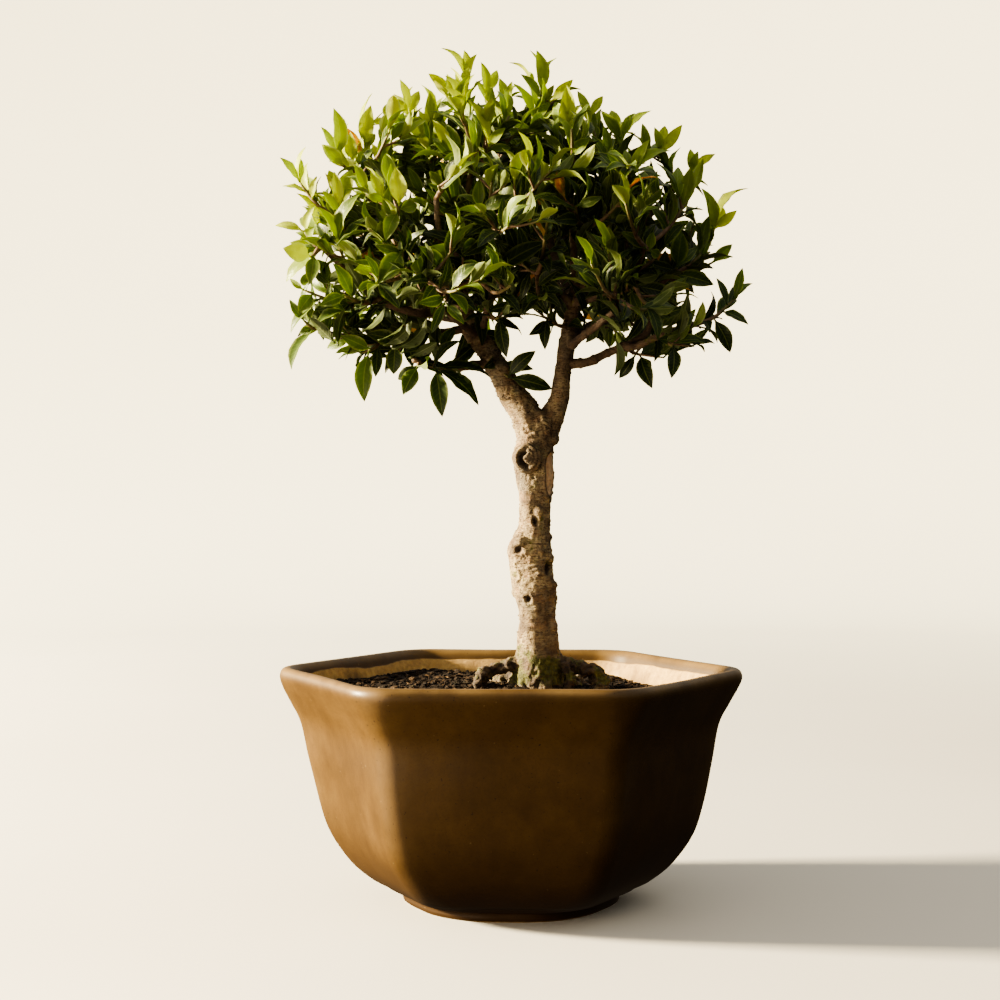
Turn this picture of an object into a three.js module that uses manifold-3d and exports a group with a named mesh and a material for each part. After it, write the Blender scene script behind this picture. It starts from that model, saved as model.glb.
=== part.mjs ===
// A small broad-leaved tree trained as a bonsai, standing in the soil of a hexagonal glazed pot.
// Millimetres, +Z up. The pot stands on Z = 0 with two of its corners on the X axis, and the
// side with the knot in the trunk faces -Y.
import * as THREE from "three";
import { mergeVertices } from "three/addons/utils/BufferGeometryUtils.js";
import Module from "manifold-3d";

// ---- driving dimensions ----------------------------------------------------------------------

const POT = {
  cornerPoints: 3, // points on each rounded upright corner
  rimRadius: 100, // pot's centre to the outside of a rounded corner, at the widest
  height: 100.4,
  floorUnder: 5, // underside of the floor above the table, inside the foot ring
  floorTop: 12,
  drainHole: 12, // radius
};

// The outside from the foot to the rim: corner radius, height, fillet of the corner.
const POT_OUTSIDE = [
  [46.5, 0, 14],
  [46.5, 5.2, 14],
  [51.2, 5.9, 15],
  [54.2, 8, 16],
  [60.5, 10.9, 17],
  [70, 17.4, 18],
  [78.7, 28.7, 20],
  [84.3, 42, 22],
  [88.3, 59.6, 22],
  [91, 76, 22],
  [95.2, 84.8, 22],
  [98.4, 91.5, 22],
  [POT.rimRadius, 97, 22],
  [97.4, POT.height, 21],
];

// The inside from the rim's inner edge down to the floor.
const POT_INSIDE = [
  [93.6, 99.6, 20],
  [91.4, 95.5, 19],
  [88.2, 87, 19],
  [82.6, 66, 18],
  [77.6, 44, 17],
  [70, 28.5, 16],
  [54, 15.5, 14],
];

const FOOT_INNER = [39, 12]; // corner radius and fillet of the foot ring's inner edge

const SOIL = {
  clearance: 0.4, // to the pot's wall and floor
  edge: 89.5, // height against the wall
  mound: 3, // extra height at the trunk's base
  moundReach: 34,
  grain: 0.9, // height of the lumps
  lumps: 9, // loose pieces of bark and grit standing out of the surface
};

const DRAIN_MESH = { strips: 3, strip: 2, pitch: 9, thickness: 1 };

const SEAT = 0.3; // gap left between pieces that touch

// ---- the wood --------------------------------------------------------------------------------

// Trunk from below the soil to the fork: X, Y, Z of the middle, half width across the front,
// half width front to back.
const TRUNK = [
  [11, 1, 58, 3, 3],
  [11, 1, 68, 10, 9],
  [11, 0, 80, 14, 13],
  [11, 0, 90, 12.8, 12],
  [11.5, 0, 97, 11, 10.8],
  [11.6, 0, 105, 9.8, 9.6],
  [11.4, 0, 114, 8.7, 8.8],
  [11.2, 0, 124, 7.9, 8.3],
  [10.3, 0, 134, 9.4, 8.8],
  [8.9, 0, 145, 9.3, 8.8],
  [8.7, 0, 153, 9.1, 8.3],
  [10, 0, 161, 7, 7.2],
  [10.2, 0, 169, 6.8, 7],
  [10.4, 0, 176, 6.9, 7],
  [10.4, 0, 184, 8.5, 7.4],
  [9.7, 0, 193, 8.3, 7.4],
  [10.9, 0, 200, 8.4, 7.2],
  [11.2, 0, 207, 9.6, 6.8],
  [12, 0, 211.5, 7, 5.4],
];
const TRUNK_SIDES = 11;

// Limbs and branches: the points that the middle line passes through, then the radius at its
// start and at its end. Each starts inside the wood that it grew from.
const BRANCHES = {
  limb_left: [[10.5, 0, 200], [6, 0, 211], [0, -1, 220], [-3, -2, 226], [-7, -2, 232],
    [-11, -1, 239], [-16, 0, 245], [-19, 2, 252], [-21, 4, 258], [-22, 7, 267]],
  limb_right: [[13, 1, 200], [18, 1, 210], [21, 0, 217], [22, -1, 225], [23, -1, 232],
    [24, -1, 238], [25, 0, 245], [26, 1, 252], [27, -1, 260], [28, -3, 268]],
  left_low: [[-8, -2, 233], [-17, -7, 231], [-24, -11, 230], [-30, -15, 230], [-35, -19, 232],
    [-40, -26, 232]],
  left_long: [[-19, 2, 253], [-30, -1, 255], [-41, -6, 254], [-57, -14, 259], [-64, -16, 265],
    [-79, -19, 280]],
  left_under: [[-17, 1, 248], [-31, 1, 246], [-47, -4, 243], [-63, -10, 242], [-80, -15, 245]],
  left_mid: [[-21, 3, 259], [-34, -11, 263], [-39, -23, 269], [-41, -34, 276], [-43, -40, 282]],
  left_far: [[-21, 5, 261], [-38, 1, 265], [-52, -6, 273], [-65, -10, 283], [-76, -13, 295]],
  left_upper: [[-21, 7, 268], [-32, 9, 277], [-45, 6, 287], [-59, -2, 301], [-63, -7, 310]],
  left_front_stem: [[-14, -2, 244], [-11, -10, 250], [-10, -17, 257], [-11, -32, 272],
    [-12, -42, 286]],
  left_leader: [[-22, 7, 266], [-20, 3, 287], [-18, -13, 306], [-16, -19, 314]],
  left_crown: [[-20, 4, 286], [-22, 13, 304], [-23, 15, 322], [-22, 11, 341]],
  left_top: [[-21, 7, 275], [-29, 9, 294], [-37, 7, 311], [-42, 2, 326]],
  left_front: [[-15, -3, 245], [-23, -23, 250], [-30, -43, 255], [-35, -59, 260]],
  left_front_high: [[-21, 2, 260], [-26, -26, 270], [-28, -43, 282], [-29, -49, 296]],
  left_back_low: [[-18, 4, 251], [-31, 29, 255], [-44, 50, 260]],
  left_back_mid: [[-20, 4, 255], [-28, 24, 267], [-43, 43, 283], [-59, 58, 299]],
  left_back_high: [[-21, 8, 265], [-19, 29, 279], [-17, 49, 296], [-17, 61, 314]],
  middle_back: [[-20, 5, 258], [-9, 34, 266], [0, 60, 276], [4, 76, 289]],
  mid_top: [[-20, 7, 286], [-13, 28, 306], [-6, 34, 325], [-4, 31, 338]],
  right_low: [[25, -1, 232], [34, -3, 233], [41, -4, 236], [48, -6, 239], [56, -6, 243],
    [60, -6, 248], [64, -10, 265]],
  right_low_outer: [[48, -6, 239], [55, -12, 239], [64, -16, 243], [77, -16, 247]],
  right_mid: [[27, -2, 259], [34, -11, 259], [44, -26, 263], [54, -38, 271]],
  right_up: [[27, -1, 261], [32, -3, 267], [39, -7, 282], [49, -12, 303]],
  right_leader: [[28, -3, 266], [27, -17, 284], [26, -29, 303]],
  right_inner: [[27, -1, 258], [23, -7, 261], [17, -13, 264], [12, -18, 266]],
  right_out: [[25, 1, 244], [43, 16, 254], [66, 31, 268], [78, 33, 277], [87, 31, 286]],
  right_top: [[27, 1, 259], [21, 13, 275], [16, 19, 291], [9, 18, 322], [10, 11, 341]],
  right_high: [[27, 2, 258], [39, 5, 271], [52, 6, 287], [63, 4, 300], [70, 3, 308]],
  right_front: [[26, -3, 240], [32, -23, 243], [38, -41, 246], [44, -56, 250]],
  right_back_low: [[25, 3, 243], [35, 27, 249], [47, 50, 255]],
  right_back_mid: [[25, 2, 247], [30, 23, 260], [39, 44, 274], [47, 60, 287]],
  right_back_high: [[27, 2, 255], [21, 26, 267], [16, 49, 283], [14, 65, 298]],
};

// Radii in millimetres along each limb, and at the start and end of the branches.
const RADII = {
  limb_left: [7.6, 6.8, 6, 5.4, 5.1, 4.9, 4.6, 4.1, 3.6, 2.6],
  limb_right: [7, 5.4, 4.4, 3.9, 3.7, 3.8, 3.5, 3.3, 2.9, 2.3],
  left_low: [2.2, 1.2],
  left_long: [2.3, 1.1],
  left_front_stem: [1.6, 1.1],
  left_leader: [2, 1.1],
  right_low: [2.1, 1.1],
  right_out: [2.1, 1.1],
};
const BRANCH_RADII = [1.8, 1.1];
const LIMB_SIDES = 6;
const BRANCH_SIDES = 4;

// Roots: points of the middle line and the radius at each.
const ROOTS = [
  [[8, 0, 101, 5], [0, -2, 101.5, 3.2], [-6, -3, 100, 2.8], [-11, -4, 98, 2.6],
    [-13.5, -5, 92, 2.7], [-14, -7, 76, 2.2]],
  [[14, 0, 102, 5.5], [21, -1, 102, 3.9], [27, -1.5, 101, 3.2], [33, -2, 99.5, 3],
    [38.5, -2.5, 96, 3.6], [40, -4, 88, 4], [41, -6, 74, 2.5]],
  [[13, -3, 97, 6], [16, -12, 88, 5.2], [19, -24, 83, 4.4], [21, -36, 73, 2.5]],
  [[8, -3, 96, 6], [1, -12, 87, 5.2], [-6, -23, 81, 4], [-12, -32, 70, 2.5]],
  [[15, 4, 100, 5.5], [23, 16, 94, 4.2], [32, 27, 87, 3.6], [40, 36, 75, 2.5]],
  [[7, 5, 99, 5.5], [-3, 16, 93, 4.2], [-13, 27, 86, 3.6], [-20, 36, 73, 2.5]],
];
const ROOT_SIDES = 5;

// Swellings and pruning stubs on the trunk: place and radius.
const KNOT = { at: [7.2, -7.2, 191], ring: 6, hollowAt: [7.2, -12.2, 191.4], hollow: 3.4 };
const STUBS = [
  [18.4, -2, 199.6, 2.7],
  [16.6, -4.2, 148, 2.4],
  [4.6, -7.4, 155, 2.2],
  [12.4, -6.6, 168, 2],
  [15.5, -5.5, 132, 2.2],
  [2.5, 0, 133, 2.6],
  [16.9, 0, 157, 1.6],
];

// ---- the shoots ------------------------------------------------------------------------------

// Shoots of the front and of the outline, set by eye. Each spray grows from a branch at a
// fraction of its length. A shoot is the place of its end, then its leaves: fraction of the
// shoot that the leaf grows from, X, Y, Z of the leaf's point, and the leaf's width.
const SPRAYS = [
  ["left_far", 1, [
    [[-90, -15, 309], [[1, -98, -19, 319, 3.2], [1, -91, -13, 321, 2.7], [1, -87, -17, 324, 2.7],
      [0.7, -98, -12, 308, 2.3], [0.55, -82, -19, 311, 3.2]]],
  ]],
  ["left_far", 0.8, [
    [[-72, -21, 297], [[1, -74, -24, 312, 5.0], [0.95, -67, -18, 314, 7.3],
      [0.8, -79, -24, 304, 4.1]]],
    [[-82, -7, 287], [[1, -92, -12, 305, 4.6], [0.9, -91, -2, 301, 3.2]]],
  ]],
  ["left_long", 1, [
    [[-87, -21, 287], [[1, -100, -19, 290, 3.7], [0.9, -82, -26, 297, 3.7],
      [0.75, -82, -28, 288, 5.0]]],
    [[-84, -23, 276], [[1, -95, -29, 279, 8.2], [0.7, -84, -26, 264, 6.4]]],
  ]],
  ["left_long", 0.72, [
    [[-72, -27, 281], [[1, -80, -31, 296, 3.7], [1, -71, -24, 298, 5.0], [0.95, -62, -32, 301, 5.5],
      [0.9, -59, -22, 293, 4.1]]],
  ]],
  ["left_long", 0.45, [
    [[-87, -23, 262], [[1, -93, -22, 267, 2.7], [0.9, -89, -26, 252, 6.4],
      [0.7, -75, -28, 264, 3.2], [0.8, -93, -21, 244, 4.6]]],
    [[-69, -29, 259], [[1, -79, -35, 254, 5.5], [0.8, -66, -25, 265, 4.1]]],
  ]],
  ["left_under", 1, [
    [[-87, -21, 249], [[1, -93, -24, 258, 3.7], [0.6, -90, -17, 244, 3.7],
      [0.45, -92, -25, 228, 5.5], [0.8, -81, -26, 256, 3.2]]],
  ]],
  ["left_under", 0.55, [
    [[-60, -16, 237], [[1, -62, -17, 215, 7.8], [0.5, -58, -10, 226, 5.0],
      [0.9, -72, -21, 243, 5.9]]],
    [[-69, -7, 242], [[1, -80, -3, 239, 4.6]]],
  ]],
  ["left_under", 0.35, [
    [[-49, -13, 240], [[1, -50, -12, 227, 7.3], [0.8, -61, -19, 244, 6.9],
      [0.5, -42, -10, 230, 5.9]]],
  ]],
  ["left_low", 1, [
    [[-38, -29, 229], [[1, -44, -33, 217, 6.9], [0.6, -47, -24, 224, 5.5]]],
    [[-31, -23, 229], [[1, -28, -27, 208, 7.8], [0.9, -13, -21, 213, 5.9], [0.8, -8, -17, 225, 4.6],
      [0.9, -20, -27, 240, 4.1]]],
  ]],
  ["left_upper", 1, [
    [[-74, -17, 318], [[1, -75, -19, 340, 5.9], [1, -81, -14, 333, 3.2], [0.8, -79, -21, 324, 5.9],
      [0.9, -69, -13, 335, 3.2]]],
    [[-68, -5, 319], [[1, -69, -8, 332, 5.5], [0.8, -64, -1, 325, 4.1]]],
  ]],
  ["left_upper", 0.6, [
    [[-63, 2, 326], [[1, -61, -1, 345, 6.9], [1, -61, 6, 352, 3.2], [0.8, -56, 7, 344, 4.1]]],
    [[-54, -18, 313], [[1, -54, -22, 328, 4.6], [0.9, -49, -15, 328, 4.1]]],
  ]],
  ["left_mid", 1, [
    [[-44, -50, 293], [[1, -45, -55, 308, 7.3], [1, -41, -52, 302, 2.7], [0.9, -37, -45, 294, 5.9],
      [0.8, -49, -55, 278, 6.4]]],
    [[-51, -42, 298], [[1, -56, -46, 308, 4.1], [0.9, -58, -45, 298, 4.1]]],
  ]],
  ["left_mid", 0.55, [
    [[-43, -48, 275], [[1, -52, -54, 261, 9.1], [0.9, -54, -51, 277, 4.6],
      [0.6, -33, -53, 283, 5.0]]],
  ]],
  ["left_top", 1, [
    [[-44, -4, 341], [[1, -48, -6, 355, 3.7], [0.95, -40, -1, 351, 4.6], [0.9, -51, -7, 347, 3.7]]],
    [[-54, 2, 338], [[1, -54, 5, 347, 4.1], [0.8, -59, -1, 339, 3.7]]],
  ]],
  ["left_top", 0.7, [
    [[-35, 7, 339], [[1, -36, 4, 352, 4.1], [1, -40, 9, 356, 3.2], [0.9, -30, 11, 351, 3.7]]],
  ]],
  ["left_crown", 1, [
    [[-24, 5, 348], [[1, -28, 2, 359, 4.6], [0.95, -25, 9, 362, 3.7]]],
    [[-20, 7, 356], [[1, -31, 5, 371, 3.2], [1, -21, 9, 371, 4.1], [1, -15, 4, 368, 3.7],
      [0.9, -17, 12, 366, 3.7]]],
  ]],
  ["mid_top", 1, [
    [[-12, 22, 354], [[1, -14, 18, 368, 4.1], [1, -7, 25, 366, 4.6], [0.8, -10, 18, 358, 3.7]]],
    [[-3, 20, 348], [[1, 0, 17, 359, 3.7], [0.9, -6, 23, 362, 4.6], [0.9, 2, 24, 359, 3.2]]],
  ]],
  ["left_leader", 1, [
    [[-8, -34, 320], [[1, -17, -38, 339, 4.6], [1, -1, -38, 327, 4.1], [0.9, 1, -31, 320, 3.7],
      [0.7, -1, -40, 309, 5.9]]],
    [[-19, -31, 317], [[1, -26, -34, 324, 3.7]]],
  ]],
  ["left_leader", 0.5, [
    [[-23, -35, 295], [[1, -34, -40, 304, 3.2], [0.9, -30, -31, 315, 5.5],
      [0.8, -32, -39, 297, 5.5]]],
  ]],
  ["left_front_stem", 1, [
    [[-11, -52, 291], [[1, -20, -50, 297, 2.7], [1, -11, -56, 303, 5.0], [0.95, 2, -56, 296, 5.5],
      [0.9, 9, -49, 297, 4.1]]],
  ]],
  ["left_front_stem", 0.55, [
    [[-7, -38, 267], [[1, 17, -43, 279, 7.8], [0.6, -25, -43, 273, 5.5],
      [0.4, -36, -47, 283, 6.4]]],
  ]],
  ["left_front_stem", 0.25, [
    [[-4, -22, 250], [[1, -1, -25, 233, 6.4], [0.9, -5, -18, 242, 3.7]]],
  ]],
  ["right_top", 1, [
    [[13, 9, 351], [[1, 8, 10, 371, 2.7], [1, 11, 6, 370, 5.9], [1, 20, 12, 368, 3.7],
      [0.8, 4, 4, 359, 4.1]]],
    [[17, 5, 347], [[1, 27, 2, 356, 5.0]]],
  ]],
  ["right_top", 0.8, [
    [[10, -6, 338], [[1, 17, -9, 343, 4.6], [0.9, 1, -9, 352, 4.1], [0.7, -4, -10, 334, 4.1]]],
  ]],
  ["right_leader", 1, [
    [[26, -37, 315], [[1, 19, -40, 332, 4.1], [1, 34, -41, 322, 5.0], [0.8, 19, -39, 318, 3.7]]],
    [[25, -15, 332], [[1, 24, -18, 349, 5.9], [0.95, 22, -20, 342, 4.6], [0.9, 31, -12, 342, 3.7]]],
  ]],
  ["right_leader", 0.55, [
    [[28, -41, 294], [[1, 39, -45, 297, 4.1], [0.9, 9, -45, 297, 3.7], [0.6, 18, -46, 287, 5.9]]],
  ]],
  ["right_up", 1, [
    [[51, -18, 310], [[1, 42, -20, 321, 3.7], [1, 49, -15, 322, 4.1], [1, 59, -21, 325, 4.6],
      [0.9, 68, -22, 320, 5.0]]],
  ]],
  ["right_up", 0.75, [
    [[41, -8, 320], [[1, 40, -11, 333, 4.1], [0.9, 45, -5, 329, 3.7], [0.8, 34, -13, 329, 4.1]]],
    [[48, 4, 330], [[1, 39, 0, 342, 5.0], [1, 54, 6, 342, 4.6], [1, 61, 1, 342, 3.7]]],
  ]],
  ["right_high", 1, [
    [[65, 0, 323], [[1, 62, -3, 334, 4.1], [1, 67, 4, 336, 4.6], [1, 74, -3, 335, 5.0]]],
    [[78, 3, 315], [[1, 78, 5, 326, 4.1], [1, 81, 0, 324, 4.1], [0.95, 89, 6, 324, 4.1],
      [0.7, 68, -1, 310, 5.5]]],
  ]],
  ["right_high", 0.65, [
    [[34, 5, 340], [[1, 40, 8, 350, 4.1], [0.95, 31, 2, 345, 3.7], [0.8, 37, 9, 337, 4.1]]],
  ]],
  ["right_out", 1, [
    [[90, 25, 294], [[1, 100, 23, 302, 4.6], [0.95, 94, 29, 305, 5.0], [0.9, 87, 21, 310, 4.6],
      [1, 106, 30, 313, 3.7], [0.8, 84, 22, 312, 5.9]]],
  ]],
  ["right_out", 0.75, [
    [[89, 25, 279], [[1, 98, 23, 287, 5.0], [1, 99, 29, 282, 2.7], [0.8, 91, 30, 291, 3.7]]],
    [[81, 21, 297], [[1, 78, 24, 303, 3.2], [0.9, 87, 17, 293, 4.6]]],
  ]],
  ["right_low", 1, [
    [[71, -13, 272], [[1, 73, -16, 287, 7.8], [1, 80, -9, 281, 4.1], [0.9, 57, -19, 274, 5.0],
      [0.7, 87, -10, 265, 6.9]]],
  ]],
  ["right_low", 0.45, [
    [[56, -1, 236], [[1, 61, -6, 221, 6.9], [0.75, 47, 2, 226, 4.6]]],
  ]],
  ["right_low_outer", 1, [
    [[96, -10, 259], [[1, 99, -12, 272, 4.1], [0.95, 104, -6, 266, 3.2], [0.8, 88, -10, 268, 3.6],
      [0.65, 101, -18, 247, 4.1], [0.45, 94, -10, 236, 6.4], [0.25, 84, -26, 243, 4.1]]],
  ]],
  ["right_low_outer", 0.6, [
    [[69, -22, 238], [[1, 68, -26, 224, 5.9], [0.8, 83, -22, 239, 4.1],
      [0.5, 62, -32, 240, 4.6]]],
  ]],
  ["right_mid", 1, [
    [[58, -46, 275], [[1, 59, -49, 282, 4.1], [1, 62, -43, 273, 4.1], [0.8, 46, -50, 282, 5.0],
      [0.6, 43, -51, 266, 2.7]]],
  ]],
  ["right_mid", 0.8, [
    [[67, -33, 281], [[1, 58, -37, 295, 4.6], [0.8, 73, -30, 288, 4.6]]],
  ]],
  ["right_mid", 0.5, [
    [[51, -30, 261], [[1, 56, -33, 248, 4.6], [0.7, 52, -24, 248, 4.6]]],
  ]],
  ["right_inner", 1, [
    [[5, -30, 273], [[1, -4, -34, 280, 4.1], [0.8, 16, -33, 272, 5.9], [0.7, 5, -27, 257, 4.1]]],
  ]],
  ["limb_left", 0.52, [
    [[-1, -8, 226], [[1, 11, -11, 237, 6.4], [1, 18, -4, 221, 6.9]]],
  ]],
  ["limb_right", 0.72, [
    [[16, -13, 251], [[1, 15, -15, 237, 5.0], [0.8, 8, -18, 243, 5.0]]],
  ]],
];

// Branches of the back and the inside, whose sprays are filled by rule.
const FILLED_ENDS = ["left_front", "left_front_high", "left_back_low", "left_back_mid",
  "left_back_high", "middle_back", "right_front", "right_back_low", "right_back_mid",
  "right_back_high"];

const CROWN = {
  centre: [2, 0, 262],
  across: 88, // radius of the layer that the outer shoots end in
  up: 90,
  lowest: -0.16, // sine of the lowest shoot's angle over the centre
  outer: 53, // shoots tried in the outer layer
  inner: 10, // and in the inner layer
  innerShare: 0.62, // of the outer layer's radius
  apart: 19, // from any other shoot's end
  reach: 58, // longest shoot
};

const LEAF = {
  thickness: 0.7,
  rootWidth: 1.1,
  broad: 6, // leaves wider than this have a rounder outline
  arch: 0.09, // height of the bend, of the length
  sunk: 0.22, // share of the length that may touch neighbours on its own shoot
  // Turns tried for a blocked leaf, in radians: aside about the upright line, and up or down.
  swings: [[0, 0], [0.35, 0], [-0.35, 0], [0, 0.35], [0, -0.35], [0.7, 0], [-0.7, 0], [0, 0.7],
    [0.5, 0.5], [-0.5, 0.5], [0, -0.7], [0.5, -0.5], [-0.5, -0.5]],
  leastFacing: 0.3, // cosine between a leaf and the side of the twig that it grows out of
  length: [13, 19],
  slender: 0.32, // width over length
  perShoot: 3,
  stepBack: 0.09, // from leaf to leaf
  spread: 0.42, // radians from the shoot's line at its end
  spreadMore: 0.2, // more at each leaf back
};

const TWIG = {
  radius: 1.15,
  forks: [0.32, 0.42, 0.52, 0.62], // places tried for the fork, root to middle of the ends
  sag: 0.1, // how far a shoot hangs at its middle, of its length
  joint: 1.9, // length of twig that a leaf grows out of
  bare: 0.12, // share of a shoot with no leaves
  blend: 0.02, // share of a shoot over which its direction is measured
  bends: [0, 1, -1, 2, -2, 3, -3], // ways tried to the side, in steps
  bendStep: [0.16, 0.1], // of the shoot's length, across and to the back
};

// Leaves lying on the soil: X, Y of the middle, heading, length, width, arch.
const FALLEN = {
  fallen_leaf_yellow: { at: [-20, 64], heading: 0.5, length: 15, width: 6, color: 0xc9962b },
  fallen_leaf_brown: { at: [38, 19], heading: -0.3, length: 19, width: 6.5, color: 0x8a5a2c },
};

const COLORS = {
  glaze: 0x7a5a28,
  soil: 0x2e2118,
  mesh: 0x20221f,
  bark: 0xb59a6c,
  leaf: 0x5f7a1e,
  youngLeaf: 0x9db52c,
};

const SCRAP = 1; // mm3: smaller loose bits left by a cut are dropped
const TOUCH = 0.001; // mm3: less than this in common is a leaf's foot on its twig
const NOISE = 1e-6; // mm3: less than this in common is rounding
const SAME = 1e-6; // mm, or share of a line: closer than this is the same place

// ---- joining and cutting ---------------------------------------------------------------------

const wasm = await Module();
wasm.setup();

function solid(geometry) {
  const bare = geometry.clone();
  bare.deleteAttribute("normal");
  bare.deleteAttribute("uv");
  const merged = mergeVertices(bare, 1e-4);
  return new wasm.Manifold(
    new wasm.Mesh({
      numProp: 3,
      vertProperties: merged.attributes.position.array,
      triVerts: new Uint32Array(merged.index.array),
    }),
  );
}

function geometryOf(made) {
  const mesh = made.getMesh();
  const geometry = new THREE.BufferGeometry();
  geometry.setAttribute("position", new THREE.BufferAttribute(mesh.vertProperties, 3));
  geometry.setIndex(new THREE.BufferAttribute(mesh.triVerts, 1));
  geometry.computeVertexNormals();
  return geometry;
}

// The largest body of a solid, without loose scraps and with its sealed hollows filled.
function mainBody(made) {
  return made.decompose().reduce((a, b) => (b.volume() > a.volume() ? b : a));
}

const join = (solids) => solids.reduce((a, b) => a.add(b));
const meets = (a, b) => !a.intersect(b).isEmpty();

// ---- shape helpers ---------------------------------------------------------------------------

const vec = (p) => new THREE.Vector3(p[0], p[1], p[2]);
const ASKEW = new THREE.Vector3(0.31, 0.17, 0.93); // a direction that no branch follows

// Seeded draws between 0 and 1: each seed gives its own stream.
function drawsOf(seed) {
  let state = (seed * 2654435761) % 4294967296;
  const next = () => {
    state = (state * 1664525 + 1013904223) % 4294967296;
    return state / 4294967296;
  };
  next();
  next();
  return next;
}

// A surface from its triangles' corners, three by three.
function surface(corners) {
  const geometry = new THREE.BufferGeometry();
  const numbers = corners.flatMap((p) => [p.x, p.y, p.z]);
  geometry.setAttribute("position", new THREE.Float32BufferAttribute(numbers, 3));
  return geometry;
}

// The triangles between rings of points that all have the same number of points.
function walls(rings) {
  const corners = [];
  for (let r = 0; r + 1 < rings.length; r++) {
    const [low, high] = [rings[r], rings[r + 1]];
    low.forEach((a, i) => {
      const j = (i + 1) % low.length;
      corners.push(a, low[j], high[j], a, high[j], high[i]);
    });
  }
  return corners;
}

// A closed surface through rings of points. The ends are closed flat, or joined to each other
// when the rings go all the way round.
function skin(rings, goesRound = false) {
  if (goesRound) return surface(walls([...rings, rings[0]]));
  const corners = walls(rings);
  const [first, last] = [rings[0], rings[rings.length - 1]];
  for (let i = 1; i < first.length - 1; i++) {
    corners.push(first[0], first[i + 1], first[i], last[0], last[i], last[i + 1]);
  }
  return surface(corners);
}

// A round bar through points, each with its own radius, and "grow" more on every side.
function bar(points, radii, sides, grow = 0) {
  const path = points.map((p) => p.clone());
  const tangents = path.map((p, i) => {
    const before = path[Math.max(i - 1, 0)];
    const after = path[Math.min(i + 1, path.length - 1)];
    return after.clone().sub(before).normalize();
  });
  path[0].addScaledVector(tangents[0], -grow);
  path[path.length - 1].addScaledVector(tangents[path.length - 1], grow);
  let across = ASKEW.clone().cross(tangents[0]).normalize();
  const rings = path.map((p, i) => {
    across = across.clone().addScaledVector(tangents[i], -across.dot(tangents[i])).normalize();
    const other = tangents[i].clone().cross(across);
    return Array.from({ length: sides }, (_, k) => {
      const angle = (2 * Math.PI * k) / sides;
      return p
        .clone()
        .addScaledVector(across, Math.cos(angle) * (radii[i] + grow))
        .addScaledVector(other, Math.sin(angle) * (radii[i] + grow));
    });
  });
  return skin(rings);
}

// ---- pot -------------------------------------------------------------------------------------

// One level of the pot: a hexagon with rounded corners, "radius" out to each rounded corner.
function hexagon([radius, z, fillet]) {
  const sharp = radius + fillet * (1 / Math.cos(Math.PI / 6) - 1);
  const toFillet = sharp - fillet / Math.cos(Math.PI / 6);
  const points = [];
  for (let corner = 0; corner < 6; corner++) {
    const middle = (corner * Math.PI) / 3;
    for (let i = 0; i < POT.cornerPoints; i++) {
      const angle = middle + (Math.PI / 3) * (i / (POT.cornerPoints - 1) - 0.5);
      points.push(new THREE.Vector3(
        toFillet * Math.cos(middle) + fillet * Math.cos(angle),
        toFillet * Math.sin(middle) + fillet * Math.sin(angle),
        z,
      ));
    }
  }
  return points;
}

function circle(radius, z) {
  return hexagon([1, z, 1]).map((p) => p.setZ(0).setLength(radius).setZ(z));
}

function pot() {
  return skin([
    circle(POT.drainHole, POT.floorUnder),
    hexagon([FOOT_INNER[0], POT.floorUnder, FOOT_INNER[1]]),
    hexagon([FOOT_INNER[0], 0, FOOT_INNER[1]]),
    ...POT_OUTSIDE.map(hexagon),
    ...POT_INSIDE.map(hexagon),
    circle(36, POT.floorTop),
    circle(POT.drainHole, POT.floorTop),
  ], true);
}

// A plastic net over the drain hole, which keeps the soil in: two layers of crossed strips.
function drainMesh() {
  const { strips, strip, pitch, thickness } = DRAIN_MESH;
  const side = pitch * (strips - 1) + strip;
  const pieces = [];
  for (let i = 0; i < strips; i++) {
    const aside = (i - (strips - 1) / 2) * pitch;
    pieces.push(solid(new THREE.BoxGeometry(side, strip, thickness).translate(0, aside, 0)));
    pieces.push(solid(new THREE.BoxGeometry(strip, side, thickness).translate(aside, 0, 0)));
  }
  return join(pieces).translate([0, 0, POT.floorTop + SEAT + thickness / 2]);
}

// ---- wood ------------------------------------------------------------------------------------

const lines = Object.fromEntries(
  Object.entries(BRANCHES).map(([name, points]) => [name, points.map(vec)]),
);

function radiiOf(name) {
  const given = RADII[name] ?? BRANCH_RADII;
  const count = lines[name].length;
  if (given.length === count) return given;
  return lines[name].map((_, i) => given[0] + ((given[1] - given[0]) * i) / (count - 1));
}

// The point at a fraction of a line's length.
function along(points, fraction) {
  const lengths = points.slice(1).map((p, i) => p.distanceTo(points[i]));
  let left = fraction * lengths.reduce((a, b) => a + b);
  for (let i = 0; i < lengths.length; i++) {
    if (left <= lengths[i] || i === lengths.length - 1) {
      return points[i].clone().lerp(points[i + 1], Math.min(left / lengths[i], 1));
    }
    left -= lengths[i];
  }
}

function trunkBar(grow) {
  const rings = TRUNK.map(([x, y, z, wide, deep], level) => (
    Array.from({ length: TRUNK_SIDES }, (_, i) => {
      const angle = (2 * Math.PI * i) / TRUNK_SIDES;
      const ripple = 1 + 0.04 * Math.cos(3 * angle + level);
      return new THREE.Vector3(
        x + Math.cos(angle) * (wide * ripple + grow),
        y + Math.sin(angle) * (deep * ripple + grow),
        z,
      );
    })
  ));
  const top = rings[rings.length - 1];
  top.forEach((p) => p.setZ(p.z + grow));
  return skin(rings);
}

function ball([x, y, z], radius) {
  return new THREE.SphereGeometry(radius, 6, 4).translate(x, y, z);
}

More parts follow.
